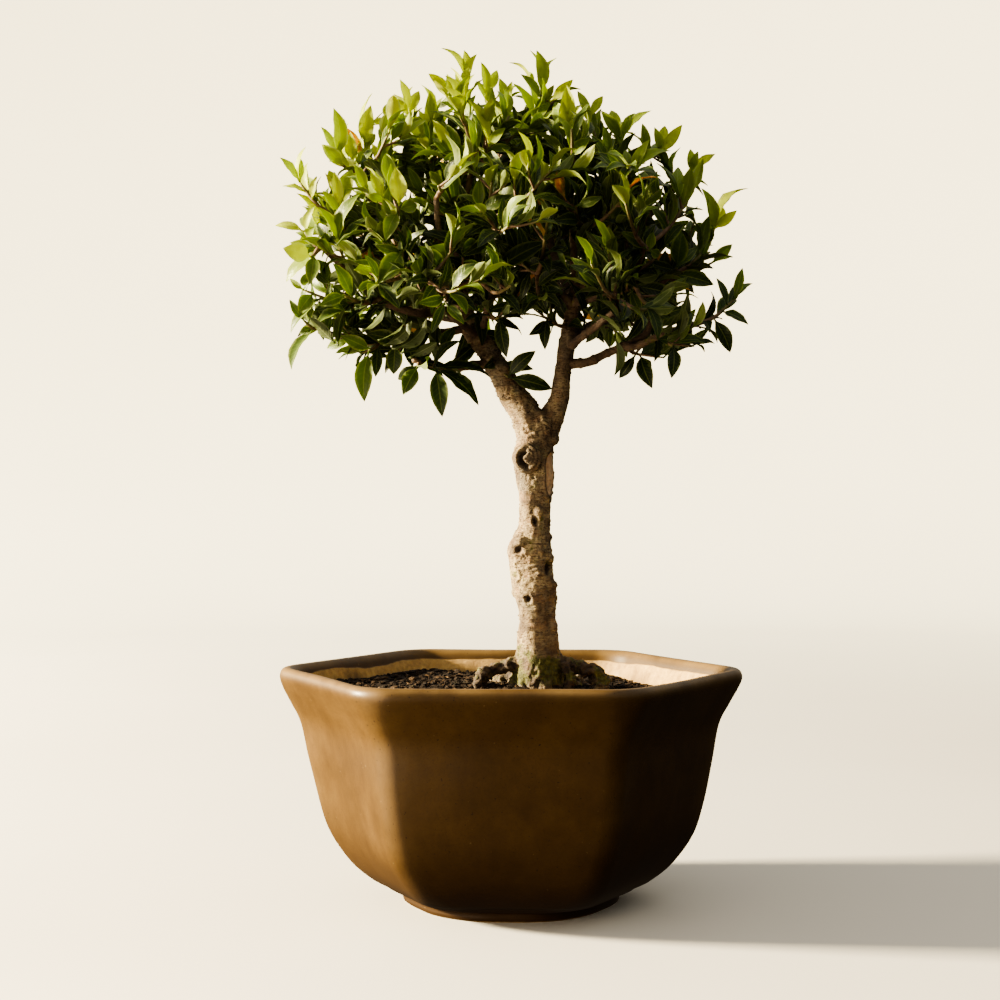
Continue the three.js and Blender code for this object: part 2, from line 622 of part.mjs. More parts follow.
// The whole tree's wood, from the roots to the ends of the branches.
function wood(grow) {
  const pieces = [trunkBar(grow)];
  for (const root of ROOTS) {
    pieces.push(bar(root.map(vec), root.map((p) => p[3]), ROOT_SIDES, grow));
  }
  for (const name of Object.keys(BRANCHES)) {
    const sides = name.startsWith("limb") ? LIMB_SIDES : BRANCH_SIDES;
    pieces.push(bar(lines[name], radiiOf(name), sides, grow));
  }
  pieces.push(ball(KNOT.at, KNOT.ring + grow));
  for (const [x, y, z, radius] of STUBS) pieces.push(ball([x, y, z], radius + grow));
  return join(pieces.map(solid));
}

// ---- soil ------------------------------------------------------------------------------------

function soilBody() {
  const down = POT_INSIDE.filter((level) => level[1] < SOIL.edge);
  const sides = down.map(([radius, z, fillet]) => (
    hexagon([radius - SOIL.clearance - 0.2, z + SEAT, fillet])
  ));
  const wallHere = POT_INSIDE[2][0] + 0.5;
  const rim = hexagon([wallHere - SOIL.clearance - 0.2, SOIL.edge, 19]);
  const draw = drawsOf(5);
  const height = (x, y) => {
    const near = Math.hypot(x - 11, y) / SOIL.moundReach;
    return SOIL.edge + SOIL.mound * Math.exp(-near * near);
  };
  const tops = [0.82, 0.64, 0.46, 0.28, 0.1].map((share) => (
    rim.map((p) => {
      const at = new THREE.Vector3(p.x * share, p.y * share, 0);
      return at.setZ(height(at.x, at.y) + (draw() - 0.5) * SOIL.grain);
    })
  ));
  const floor = circle(36, POT.floorTop + SEAT);
  return skin([floor, ...sides.reverse(), rim, ...tops]);
}

function soil(grownWood) {
  const lump = drawsOf(11);
  let made = solid(soilBody());
  for (let i = 0; i < SOIL.lumps; i++) {
    const angle = lump() * 2 * Math.PI;
    const out = 20 + 50 * lump();
    const size = 1.6 + 2.2 * lump();
    const stone = new THREE.OctahedronGeometry(size, 0);
    stone.rotateX(lump() * 3).rotateY(lump() * 3).scale(1.3, 1, 0.8);
    stone.translate(out * Math.cos(angle), out * Math.sin(angle), SOIL.edge + 0.4);
    made = made.add(solid(stone));
  }
  const recess = DRAIN_MESH.pitch * (DRAIN_MESH.strips - 1) + DRAIN_MESH.strip + 2 * SEAT;
  const cut = new THREE.BoxGeometry(recess, recess, 2 * (DRAIN_MESH.thickness + 2 * SEAT));
  cut.translate(0, 0, POT.floorTop);
  return mainBody(made.subtract(solid(cut)).subtract(grownWood));
}

// ---- leaves ----------------------------------------------------------------------------------

// The cross-sections of an arched blade from "root" to "point", with its upper face towards
// "up", as rings of four corners, and the two corners of its point.
function bladeRings(root, point, up, width, extra = 0) {
  const line = point.clone().sub(root);
  const length = line.length();
  const ahead = line.clone().normalize();
  const face = up.clone().addScaledVector(ahead, -up.dot(ahead)).normalize();
  const side = ahead.clone().cross(face);
  const at = (fraction, aside, lift, level) => root
    .clone()
    .addScaledVector(ahead, fraction * length)
    .addScaledVector(side, aside)
    .addScaledVector(face, lift * LEAF.arch * length + (level * (LEAF.thickness + extra)) / 2);
  const ring = ([fraction, half, lift]) => [[-1, 1], [1, 1], [1, -1], [-1, -1]].map(
    ([s, level]) => at(fraction, s * (half + extra / 2), lift, level),
  );
  const stations = width > LEAF.broad
    ? [[0.34, width / 2, 0.9], [0.72, 0.38 * width, 0.85]]
    : [[0.45, width / 2, 1]];
  const end = 1 + extra / length;
  return {
    base: ring([0.06, LEAF.rootWidth / 2, 0.1]),
    rings: stations.map(ring),
    tip: [at(end, 0, 0, 1), at(end, 0, 0, -1)],
  };
}

// Two triangles over four corners, folded so that the fold stands out. The first two points are
// the fold's ends.
function quad([a, b, c, d]) {
  const outward = b.clone().sub(a).cross(c.clone().sub(a));
  return outward.dot(d.clone().sub(a)) > 0 ? [b, d, a, d, b, c] : [a, c, d, c, a, b];
}

function quadNormal([a, b, c, d]) {
  return c.clone().sub(a).cross(d.clone().sub(b)).normalize();
}

const turned = (ring, turn) => ring.map((_, m) => ring[(m + turn) % 4]);

// How far round a ring is turned to lie nearest to a loop, corner by corner.
function turnOf(loop, ring) {
  const reach = (turn) => turned(ring, turn).reduce((sum, p, m) => sum + p.distanceTo(loop[m]), 0);
  return [0, 1, 2, 3].reduce((a, b) => (reach(b) < reach(a) ? b : a));
}

// The faces of a blade that grows out of a loop of four corners, as triples of points.
function bladeFaces(loop, { rings, tip }) {
  const turn = turnOf(loop, rings[0]);
  const loops = [loop, ...rings.map((ring) => turned(ring, turn))];
  const faces = [];
  for (let level = 0; level + 1 < loops.length; level++) {
    const [low, high] = [loops[level], loops[level + 1]];
    for (let m = 0; m < 4; m++) {
      const n = (m + 1) % 4;
      faces.push(...quad([low[m], low[n], high[n], high[m]]));
    }
  }
  const [a, b, c, d] = rings[rings.length - 1];
  const [top, under] = tip;
  faces.push(a, b, top, b, under, top, b, c, under, c, d, under, d, top, under, d, a, top);
  return faces;
}

// A blade by itself, closed at its root: the loop given, or a small one of its own.
function blade(shape, loop = shape.base) {
  return surface([...bladeFaces(loop, shape), ...quad([...loop].reverse())]);
}

// ---- shoots ----------------------------------------------------------------------------------

const crownCentre = vec(CROWN.centre);

// Every spray's place on its branch and the shoots set by eye.
const sprays = SPRAYS.map(([branch, at, shoots]) => ({
  root: along(lines[branch], at),
  shoots: shoots.map(([end, leaves]) => ({ end: vec(end), leaves })),
}));
for (const branch of FILLED_ENDS) sprays.push({ root: along(lines[branch], 1), shoots: [] });

// Fills the rest of the crown: ends spread evenly over two domes by the golden angle, each
// growing from the nearest spray's root, and left out where a shoot is already near.
function fillCrown() {
  const ends = sprays.flatMap((spray) => spray.shoots.map((shoot) => shoot.end));
  const layers = [[CROWN.outer, 1, 301], [CROWN.inner, CROWN.innerShare, 401]];
  for (const [count, share, seed] of layers) {
    for (let i = 0; i < count; i++) {
      const draw = drawsOf(seed + i);
      const rise = 1 - ((i + 0.5) / count) * (1 - CROWN.lowest);
      const turn = i * Math.PI * (3 - Math.sqrt(5));
      const flat = Math.sqrt(1 - rise * rise);
      const size = share * (0.94 + 0.1 * draw());
      const end = new THREE.Vector3(
        crownCentre.x + CROWN.across * size * flat * Math.cos(turn),
        crownCentre.y + CROWN.across * size * flat * Math.sin(turn),
        crownCentre.z + CROWN.up * size * rise,
      );
      if (ends.some((other) => other.distanceTo(end) < CROWN.apart)) continue;
      const cost = (spray) => {
        const way = end.clone().sub(spray.root);
        const outward = spray.root.clone().sub(crownCentre).normalize();
        return way.length() * (1.35 - 0.35 * way.clone().normalize().dot(outward))
          + 4 * spray.shoots.length;
      };
      const spray = sprays.reduce((a, b) => (cost(b) < cost(a) ? b : a));
      if (spray.root.distanceTo(end) > CROWN.reach) continue;
      ends.push(end);
      spray.shoots.push({ end, leaves: null });
    }
  }
}

// Leaves of a filled shoot: spiralling back from its end, spread wider the lower they stand.
function leavesByRule(shoot, seed) {
  const [before, end] = shoot.line.slice(-2);
  const ahead = end.clone().sub(before).normalize();
  const across = ASKEW.clone().cross(ahead).normalize();
  const other = ahead.clone().cross(across);
  const phase = drawsOf(seed)() * 2 * Math.PI;
  return Array.from({ length: LEAF.perShoot }, (_, k) => {
    const draw = drawsOf(seed * 40 + k + 1);
    const turn = phase + k * Math.PI * (3 - Math.sqrt(5));
    const tilt = k ? LEAF.spread + LEAF.spreadMore * k + 0.2 * (draw() - 0.5) : 0.1;
    const length = LEAF.length[0] + (LEAF.length[1] - LEAF.length[0]) * draw();
    const way = ahead
      .clone()
      .multiplyScalar(Math.cos(tilt))
      .addScaledVector(across, Math.sin(tilt) * Math.cos(turn))
      .addScaledVector(other, Math.sin(tilt) * Math.sin(turn));
    way.z += 0.15;
    const from = 1 - LEAF.stepBack * k;
    const point = along(shoot.line, from).addScaledVector(way.normalize(), length);
    const up = k ? ahead : across;
    return { from, point, up, width: length * LEAF.slender * (0.85 + 0.3 * draw()) };
  });
}

// Leaves set by eye. One that looks narrower from the front than a leaf of its length is
// turned on its own line, with its upper face to the sky.
function leavesByEye(shoot) {
  return shoot.leaves.map(([from, x, y, z, seen]) => {
    const point = new THREE.Vector3(x, y, z);
    const line = point.clone().sub(along(shoot.line, from));
    const width = Math.max(seen, LEAF.slender * line.length());
    line.normalize();
    const front = new THREE.Vector3(0, -1, 0).addScaledVector(line, line.y).normalize();
    const turn = Math.acos(seen / width);
    const [up, down] = [turn, -turn].map((a) => front.clone().applyAxisAngle(line, a));
    return { from, point, up: up.z > down.z ? up : down, width };
  });
}

// The middle line of a shoot: it dips a little and then turns up.
function shootLine(start, end, bend) {
  const middle = start.clone().lerp(end, 0.5);
  const length = start.distanceTo(end);
  middle.z -= TWIG.sag * length;
  middle.x += bend * length * TWIG.bendStep[0];
  middle.y += bend * length * TWIG.bendStep[1];
  return [start, middle, end];
}

const placed = []; // every twig and leaf so far: its solid, its box and its spray

function boxOf(made) {
  const { min, max } = made.boundingBox();
  return new THREE.Box3(vec(min), vec(max));
}

function hits(probe, ownSpray) {
  const box = boxOf(probe);
  return placed.some((other) => (
    other.spray !== ownSpray && other.box.intersectsBox(box) && meets(other.solid, probe)
  ));
}

function place(made, spray) {
  placed.push({ solid: made, box: boxOf(made), spray });
  return made;
}

// The twigs of a spray: the first shoot starts in the branch and the others fork from it. One
// that would cross wood or another spray is bent clear, or left out if it can't be.
function growTwigs(spray, index, grownWood) {
  const { root, shoots } = spray;
  const centroid = shoots
    .reduce((sum, shoot) => sum.add(shoot.end), new THREE.Vector3())
    .divideScalar(shoots.length);
  const forks = TWIG.forks.map((share) => root.clone().lerp(centroid, share));
  const free = forks.find((p) => !meets(solid(ball(p.toArray(), 2 * TWIG.radius)), grownWood));
  const fork = shoots.length > 1 ? free ?? forks[0] : root;
  const kept = [];
  for (const shoot of shoots) {
    const stem = kept.length || shoots.length === 1 ? [] : [root];
    for (const bend of TWIG.bends) {
      const line = [...stem, ...shootLine(fork, shoot.end, bend)];
      const radii = line.map(() => TWIG.radius);
      const made = solid(bar(line, radii, 4));
      const probe = solid(bar(line, radii, 4, SEAT));
      const outside = made.subtract(grownWood).decompose().filter((b) => b.volume() > SCRAP);
      if (outside.length !== 1 || hits(probe, index)) continue;
      shoot.line = line;
      kept.push(shoot);
      place(made, index);
      break;
    }
  }
  spray.shoots = kept;
}

// Finds a clear way for a leaf that grows out of one of the loops of corners given: swung aside
// or tilted in small steps, and null if it stays blocked.
function clearLeaf(leaf, loops, twig, ownLeaves, index, grownWood) {
  const across = new THREE.Vector3(0, 0, 1);
  for (const [swing, tilt] of LEAF.swings) {
    const line = leaf.point.clone().sub(leaf.root).applyAxisAngle(across, swing);
    const level = new THREE.Vector3(line.y, -line.x, 0).normalize();
    const point = leaf.root.clone().add(line.applyAxisAngle(level, tilt));
    const grown = bladeRings(leaf.root, point, leaf.up, leaf.width, 2 * SEAT);
    const probe = solid(blade(grown));
    if (meets(probe, grownWood) || hits(probe, index)) continue;
    const shape = bladeRings(leaf.root, point, leaf.up, leaf.width);
    const way = point.clone().sub(leaf.root).normalize();
    const facing = (loop) => quadNormal(loop).dot(way);
    const loop = loops.reduce((a, b) => (facing(b) > facing(a) ? b : a));
    if (facing(loop) < LEAF.leastFacing) continue;
    const made = solid(blade(shape, loop));
    if (made.intersect(twig).volume() > TOUCH) continue;
    if (ownLeaves.some((other) => made.intersect(other).volume() > NOISE)) continue;
    const free = leaf.root.clone().lerp(point, LEAF.sunk);
    const outer = solid(blade(bladeRings(free, point, leaf.up, leaf.width)));
    if (placed.some((other) => other.spray === index && meets(outer, other.solid))) continue;
    return { made, loop, shape };
  }
  return null;
}

// The four corners of a twig at a fraction of its line.
function twigRing(line, level) {
  const ahead = along(line, Math.min(level + TWIG.blend, 1));
  const tangent = ahead.sub(along(line, level - TWIG.blend)).normalize();
  const sideways = ASKEW.clone().cross(line[line.length - 1].clone().sub(line[0]));
  const across = sideways.addScaledVector(tangent, -sideways.dot(tangent)).normalize();
  const other = tangent.clone().cross(across);
  return [[1, 0], [0, 1], [-1, 0], [0, -1]].map(([a, b]) => along(line, level)
    .addScaledVector(across, a * TWIG.radius)
    .addScaledVector(other, b * TWIG.radius));
}

// The four side faces of a stretch of twig.
function sidesOf(low, high) {
  return low.map((a, i) => {
    const j = (i + 1) % 4;
    return [a, low[j], high[j], high[i]];
  });
}

// A shoot: a four-sided twig that its leaves grow out of. The first leaf goes on from the
// twig's end, and each other leaf grows out of one side of a joint of its own.
function growShoot(shoot, seed, index, grownWood) {
  const { line } = shoot;
  const lengths = line.slice(1).map((p, i) => p.distanceTo(line[i]));
  const length = lengths.reduce((a, b) => a + b);
  const joint = TWIG.joint / length;
  const wanted = shoot.leaves ? leavesByEye(shoot) : leavesByRule(shoot, seed);
  const bends = lengths.slice(1).map((_, i) => (
    lengths.slice(0, i + 1).reduce((a, b) => a + b) / length
  ));
  const twig = solid(skin([0, ...bends, 1].map((level) => twigRing(line, level))));
  const leaves = [];
  const grow = (leaf, level, loops) => {
    const rooted = { ...leaf, root: along(line, level) };
    const made = clearLeaf(rooted, loops, twig, leaves.map((l) => l.made), index, grownWood);
    if (made) leaves.push(made);
    return made;
  };
  grow(wanted[0], 1, [twigRing(line, 1)]);
  const joints = [];
  let free = 1;
  for (const leaf of wanted.slice(1).sort((a, b) => b.from - a.from)) {
    const top = Math.min(leaf.from, free);
    if (top - joint < TWIG.bare) break;
    const loops = sidesOf(twigRing(line, top - joint), twigRing(line, top));
    if (!grow(leaf, top - joint / 2, loops)) continue;
    joints.push(top);
    free = top - joint;
  }
  const inJoint = (level) => joints.some((top) => (
    top + TWIG.blend > level && top - joint - TWIG.blend < level
  ));
  const cuts = [
    0, ...bends.filter((level) => !inJoint(level)), ...joints.flatMap((top) => [top - joint, top]), 1,
  ];
  cuts.sort((a, b) => a - b);
  const levels = cuts.filter((level, i) => !i || level - cuts[i - 1] > SAME);
  const rings = levels.map((level) => twigRing(line, level));
  const ends = [[...rings[0]].reverse(), rings[rings.length - 1]];
  const sides = rings.slice(1).flatMap((high, i) => sidesOf(rings[i], high));
  const near = (p, q) => p.every((corner, i) => corner.distanceTo(q[i]) < SAME);
  const plain = [...ends, ...sides].filter((side) => !leaves.some(({ loop }) => near(loop, side)));
  const corners = plain.flatMap(([a, b, c, d]) => [a, b, c, a, c, d]);
  for (const { loop, shape, made } of leaves) {
    corners.push(...bladeFaces(loop, shape));
    place(made, index);
  }
  return solid(surface(corners));
}

// ---- fallen leaves ---------------------------------------------------------------------------

// A leaf lying on the soil, lowered until it rests on it.
function fallenLeaf({ at, heading, length, width }, ground) {
  const root = new THREE.Vector3(
    at[0] - (Math.cos(heading) * length) / 2,
    at[1] - (Math.sin(heading) * length) / 2,
    SOIL.edge + 12,
  );
  const point = root.clone().add(
    new THREE.Vector3(Math.cos(heading) * length, Math.sin(heading) * length, 0),
  );
  const shape = [root, point, new THREE.Vector3(0, 0, 1), width];
  const probe = solid(blade(bladeRings(...shape, 2 * SEAT)));
  let drop = 0;
  while (drop < 20 && !meets(probe.translate([0, 0, -drop - 0.1]), ground)) drop += 0.1;
  return blade(bladeRings(...shape)).translate(0, 0, -drop);
}

// ---- assembly --------------------------------------------------------------------------------

const tree = new THREE.Group();

function addPiece(name, geometry, color, roughness) {
  const material = new THREE.MeshStandardMaterial({ color, roughness, metalness: 0 });
  const mesh = new THREE.Mesh(geometry, material);
  mesh.name = name;
  tree.add(mesh);
}

const grownWood = wood(SEAT);
const hollow = new THREE.SphereGeometry(KNOT.hollow, 8, 6).scale(0.8, 1.6, 1);
hollow.translate(...KNOT.hollowAt);
const ground = soil(grownWood);

addPiece("pot", pot(), COLORS.glaze, 0.35);
addPiece("drain_mesh", geometryOf(drainMesh()), COLORS.mesh, 0.6);
addPiece("soil", geometryOf(ground), COLORS.soil, 0.95);
addPiece("wood", geometryOf(mainBody(wood(0).subtract(solid(hollow)))), COLORS.bark, 0.8);

fillCrown();
sprays.forEach((spray, index) => {
  if (spray.shoots.length) growTwigs(spray, index, grownWood);
});
sprays.forEach((spray, index) => {
  if (!spray.shoots.length) return;
  const shoots = spray.shoots.map((shoot, s) => growShoot(shoot, index * 12 + s + 1, index, grownWood));
  const body = mainBody(join(shoots).subtract(grownWood));
  const name = "spray_" + String(index + 1).padStart(2, "0");
  const young = crownCentre.z + 40 < spray.root.z;
  addPiece(name, geometryOf(body), young ? COLORS.youngLeaf : COLORS.leaf, 0.4);
});
for (const [name, leaf] of Object.entries(FALLEN)) {
  addPiece(name, fallenLeaf(leaf, ground.add(grownWood)), leaf.color, 0.7);
}

// The origin is the middle of the whole object's box, on the surface that the pot stands on.
const box = new THREE.Box3().setFromObject(tree);
tree.children.forEach((piece) => {
  piece.position.set(-(box.min.x + box.max.x) / 2, -(box.min.y + box.max.y) / 2, 0);
});

export default tree;
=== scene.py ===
import math
import random

import bpy
import numpy as np
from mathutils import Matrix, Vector, noise


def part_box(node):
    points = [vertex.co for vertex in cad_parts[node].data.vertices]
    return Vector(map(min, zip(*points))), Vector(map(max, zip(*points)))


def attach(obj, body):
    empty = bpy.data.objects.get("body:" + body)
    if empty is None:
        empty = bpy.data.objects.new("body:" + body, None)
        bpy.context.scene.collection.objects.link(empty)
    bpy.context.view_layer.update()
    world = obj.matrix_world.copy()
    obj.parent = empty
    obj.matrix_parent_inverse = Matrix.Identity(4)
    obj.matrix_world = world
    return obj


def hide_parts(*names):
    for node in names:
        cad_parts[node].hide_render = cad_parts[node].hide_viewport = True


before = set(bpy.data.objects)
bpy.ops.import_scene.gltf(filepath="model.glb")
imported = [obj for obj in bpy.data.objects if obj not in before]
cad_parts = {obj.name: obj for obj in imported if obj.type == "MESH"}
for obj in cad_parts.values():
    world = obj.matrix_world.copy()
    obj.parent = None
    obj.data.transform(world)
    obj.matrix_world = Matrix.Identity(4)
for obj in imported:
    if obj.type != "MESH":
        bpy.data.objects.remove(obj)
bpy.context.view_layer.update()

# ---- pot ---------------------------------------------------------------------------------------
# A flared six-sided bonsai pot, pressed from buff stoneware in a mould, with rounded upright
# corners, a rolled lip and a foot ring set well back. An olive-brown satin glaze covers the
# outside and turns in over the lip; below its wavy edge the inside is bare clay.

MM = 0.001
pot_low, pot_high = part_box("pot")
POT_MIDDLE = np.array([(pot_low.x + pot_high.x) / 2, (pot_low.y + pot_high.y) / 2, 0.0])

# Corner radius, height and fillet of the corner, in millimetres.
FOOT_LEVELS = [(39, 5, 12), (39, 2.4, 14), (39.1, 0.8, 16), (39.9, 0, 18), (42.5, 0, 22),
               (45.9, 0, 36), (46.9, 0.7, 37), (47.2, 2.2, 37), (47.3, 3.6, 36), (48, 4.3, 34),
               (49.8, 4.6, 31), (51.8, 4.9, 28), (53.6, 5.4, 25)]
WALL_LEVELS = [(55.2, 6.4, 21), (61, 8.9, 17.5), (70, 15.9, 14), (78.7, 28, 12.5),
               (83.6, 42, 11.5), (87.4, 59.6, 11), (90.1, 76, 11.5), (94.3, 84.8, 13.5),
               (98, 91.5, 17), (99.9, 95.8, 20.5),
               (99.7, 98.4, 22), (98.4, 99.9, 21.5), (96.6, 100.3, 21), (94.8, 99.9, 20.5),
               (93.2, 98.4, 20), (91.8, 95.5, 19), (88.2, 87, 19), (82.6, 66, 18),
               (77.6, 44, 17), (70, 28.5, 16), (54, 15.5, 14), (44, 12.4, 14), (36, 12, 14)]
LIP_AT = 12  # place of the lip's highest level in WALL_LEVELS
WALL_STEPS = 5  # levels made from each of WALL_LEVELS
GLAZE_FROM = 6  # place in FOOT_LEVELS where the glaze starts; below it the foot is bare clay
DRAIN_HOLE, FLOOR_UNDER, FLOOR_TOP = 12, 5, 12
CORNER_POINTS, SIDE_POINTS = 11, 14
FRONT_LEFT_CORNER = math.radians(-120)
LEFT_SWELL, LEFT_SWELL_REACH = 2.0, 0.55  # the left corner flares out further below the lip
CORNER_SHIFT, CORNER_SHIFT_REACH = 3.4, 0.42  # the front left corner stands further left

# A pressed pot is never quite true: height and width of the swells in its wall and lip.
WALL_WAVER, WALL_WAVER_WIDTH = 0.45, 42
FINE_WAVER, FINE_WAVER_WIDTH = 0.12, 14
LIP_WAVER, LIP_WAVER_WIDTH = 0.45, 50
WAVER_FROM = 9  # height from which the wall is untrue


def smooth_through(levels, steps):
    """Levels along a smooth line through the given ones, with steps between each two."""
    given = np.array(levels, float)
    padded = np.vstack([2 * given[0] - given[1], given, 2 * given[-1] - given[-2]])
    line = []
    for i in range(len(given) - 1):
        a, b, c, d = padded[i:i + 4]
        for step in range(steps):
            t = step / steps
            line.append(0.5 * (2 * b + (c - a) * t + (2 * a - 5 * b + 4 * c - d) * t ** 2
                               + (3 * b - a - 3 * c + d) * t ** 3))
    return np.array(line + [given[-1]])


def hexagon(radius, height, fillet):
    """One level of the pot: a hexagon with rounded corners, as points in millimetres."""
    sharp = radius + fillet * (1 / math.cos(math.pi / 6) - 1)
    to_fillet = sharp - fillet / math.cos(math.pi / 6)
    ring = []
    for corner in range(6):
        middle = corner * math.pi / 3
        for i in range(CORNER_POINTS):
            angle = middle + math.pi / 3 * (i / (CORNER_POINTS - 1) - 0.5)
            ring.append((to_fillet * math.cos(middle) + fillet * math.cos(angle),
                         to_fillet * math.sin(middle) + fillet * math.sin(angle), height))
        last = np.array(ring[-1])
        turn = np.array([[0.5, -math.sqrt(3) / 2], [math.sqrt(3) / 2, 0.5]])
        first = np.append(turn @ np.array(ring[-CORNER_POINTS][:2]), height)
        for i in range(1, SIDE_POINTS + 1):
            ring.append(tuple(last + (first - last) * i / (SIDE_POINTS + 1)))
    return np.array(ring)


def round_level(radius, height):
    """A round level with as many points as the hexagons have, in line with theirs."""
    ring = hexagon(50, height, 14)
    ring[:, :2] *= radius / np.linalg.norm(ring[:, :2], axis=1)[:, None]
    return ring


def joined_rings(rings, closed=False):
    """Points and faces of a skin over rings of points."""
    count = len(rings[0])
    faces = []
    for level in range(len(rings) - (0 if closed else 1)):
        low, high = level * count, (level + 1) % len(rings) * count
        for i in range(count):
            j = (i + 1) % count
            faces.append((low + i, low + j, high + j, high + i))
    return np.concatenate(rings), faces


def new_piece(name, points_mm, faces, smooth=True):
    """A mesh piece from points in millimetres round the pot's middle."""
    mesh = bpy.data.meshes.new(name)
    mesh.from_pydata((np.asarray(points_mm) * MM + POT_MIDDLE).tolist(), [], faces)
    mesh.polygons.foreach_set("use_smooth", [smooth] * len(mesh.polygons))
    piece = bpy.data.objects.new(name, mesh)
    bpy.context.scene.collection.objects.link(piece)
    return piece


def marked(piece, name, amounts):
    """Keeps one number for each of the piece's points, for its finish."""
    mark = piece.data.attributes.new(name, "FLOAT", "POINT")
    mark.data.foreach_set("value", np.asarray(amounts, np.float32))


def waver(point, size, seed=0.0):
    """A smooth random swell between about -1 and 1, as wide as size."""
    return noise.noise(Vector(point) / size + Vector((seed, 0.37 * seed, 1.7 * seed)))


def eased_step(value, low, high):
    """0 below low, 1 above high, and eased between."""
    t = np.clip((value - low) / (high - low), 0, 1)
    return t * t * (3 - 2 * t)


wall = smooth_through(WALL_LEVELS, WALL_STEPS)
turned_in = WALL_STEPS * LIP_AT
pot_rings = [round_level(DRAIN_HOLE, FLOOR_UNDER), round_level(30, FLOOR_UNDER)]
pot_rings += [hexagon(*level) for level in FOOT_LEVELS]
outside_from = len(pot_rings)
pot_rings += [hexagon(*level) for level in wall]
pot_rings += [round_level(24, FLOOR_TOP), round_level(DRAIN_HOLE, FLOOR_TOP)]
pot_points, pot_faces = joined_rings(pot_rings, closed=True)
ring_size = len(pot_rings[0])
pot_level = np.arange(len(pot_points)) // ring_size
for point in pot_points:
    x, y, z = point
    if z > WAVER_FROM:
        out = WALL_WAVER * waver((x, y, z), WALL_WAVER_WIDTH, 3)
        out += FINE_WAVER * waver((x, y, z), FINE_WAVER_WIDTH, 8)
        from_left = math.pi - abs(math.atan2(y, x))
        out += LEFT_SWELL * math.exp(-(from_left / LEFT_SWELL_REACH) ** 2) * (
            eased_step(z, 46, 84) - 0.4 * eased_step(z, 88, 99))
        from_corner = FRONT_LEFT_CORNER - math.atan2(y, x)
        point[:2] *= 1 + out / math.hypot(x, y)
        point[0] -= CORNER_SHIFT * eased_step(z, WAVER_FROM, 36) * math.exp(
            -(from_corner / CORNER_SHIFT_REACH) ** 2)
    high_up = max(0.0, min(1.0, (z - 60) / 35))
    point[2] += LIP_WAVER * waver((x, y, 0), LIP_WAVER_WIDTH, 5) * high_up

pot = new_piece("pot_glazed", pot_points, pot_faces)
inside = (pot_level - outside_from > turned_in).astype(float)
inside[pot_level < outside_from - len(FOOT_LEVELS) + GLAZE_FROM] = 1
heights = pot_points[:, 2]
# Where the glaze runs thin and pale: over the lip, and along the upright corners, where the
# lighter colour is partly a painted highlight.
lip = np.exp(-((heights - 99.4) / 1.6) ** 2)
angle_in_side = np.degrees(np.arctan2(pot_points[:, 1], pot_points[:, 0])) % 60
corner = np.exp(-(np.minimum(angle_in_side, 60 - angle_in_side) / 5.5) ** 2)
marked(pot, "inside", inside)
marked(pot, "lip", np.clip(lip + 0.35 * corner * (heights > 9), 0, 1))


def finish_named(name, roughness, **sockets):
    """A new material and its shader, with the numbers given set on the shader's sockets."""
    material = bpy.data.materials.new(name)
    material.use_nodes = True
    shader = material.node_tree.nodes["Principled BSDF"]
    shader.inputs["Roughness"].default_value = roughness
    for socket, number in sockets.items():
        shader.inputs[socket.replace("_", " ")].default_value = number
    return material


def node(material, kind, inputs, output=0, **settings):
    """Adds a node, joins or sets its inputs, and gives its output."""
    made = material.node_tree.nodes.new("ShaderNode" + kind)
    for name, value in settings.items():
        setattr(made, name, value)
    for socket, value in inputs.items():
        if isinstance(value, bpy.types.NodeSocket):
            material.node_tree.links.new(value, made.inputs[socket])
        else:
            made.inputs[socket].default_value = value
    return made.outputs[output]


def onto(material, socket, value):
    """Joins a value to a socket of the material's shader."""
    shader = material.node_tree.nodes["Principled BSDF"]
    material.node_tree.links.new(value, shader.inputs[socket])


def place_on(material, stretch=(1, 1, 1)):
    """The place on the piece, stretched or squeezed along its axes."""
    where = node(material, "TexCoord", {}, "Object")
    return node(material, "Mapping", {"Vector": where, "Scale": stretch}, vector_type="POINT")


def mottle(material, where, size_mm, detail=4, roughness=0.55):
    """Clouds about size_mm wide, as a number between 0 and 1."""
    return node(material, "TexNoise", {"Vector": where, "Scale": 1000 / size_mm,
                                       "Detail": detail, "Roughness": roughness})


def mark_of(material, name):
    """The number kept on the piece's points under that name."""
    return node(material, "Attribute", {}, "Fac", attribute_name=name)


def eased(material, value, low, high):
    """0 below low, 1 above high, and eased between."""
    return node(material, "MapRange", {"Value": value, "From Min": low, "From Max": high},
                interpolation_type="SMOOTHSTEP")


def sum_of(material, operation, a, b):
    return node(material, "Math", {0: a, 1: b}, operation=operation)


def shades(material, amount, stops):
    """Colours along a scale from 0 to 1."""
    ramp = material.node_tree.nodes.new("ShaderNodeValToRGB")
    material.node_tree.links.new(amount, ramp.inputs[0])
    elements = ramp.color_ramp.elements
    while len(elements) < len(stops):
        elements.new(1)
    for element, (at, colour) in zip(elements, stops):
        element.position = at
        element.color = (*colour, 1)
    return ramp.outputs[0]


def laid_over(material, amount, under, over):
    """One colour laid over another by an amount."""
    colours = {}
    for socket, colour in ((6, under), (7, over)):
        colours[socket] = colour if isinstance(colour, bpy.types.NodeSocket) else (*colour, 1)
    return node(material, "Mix", {0: amount, **colours}, 2, data_type="RGBA")


def dabbed(material, pattern, strength, under, over):
    """One colour laid over another where a pattern shows, no stronger than strength."""
    return laid_over(material, sum_of(material, "MULTIPLY", pattern, strength), under, over)


def relief(material, heights_of):
    """Joins a chain of bumps, given as height and its depth in millimetres."""
    normal = None
    for height, depth in heights_of:
        inputs = {"Height": height, "Distance": depth * MM, "Strength": 1.0}
        if normal is not None:
            inputs["Normal"] = normal
        normal = node(material, "Bump", inputs)
    onto(material, "Normal", normal)


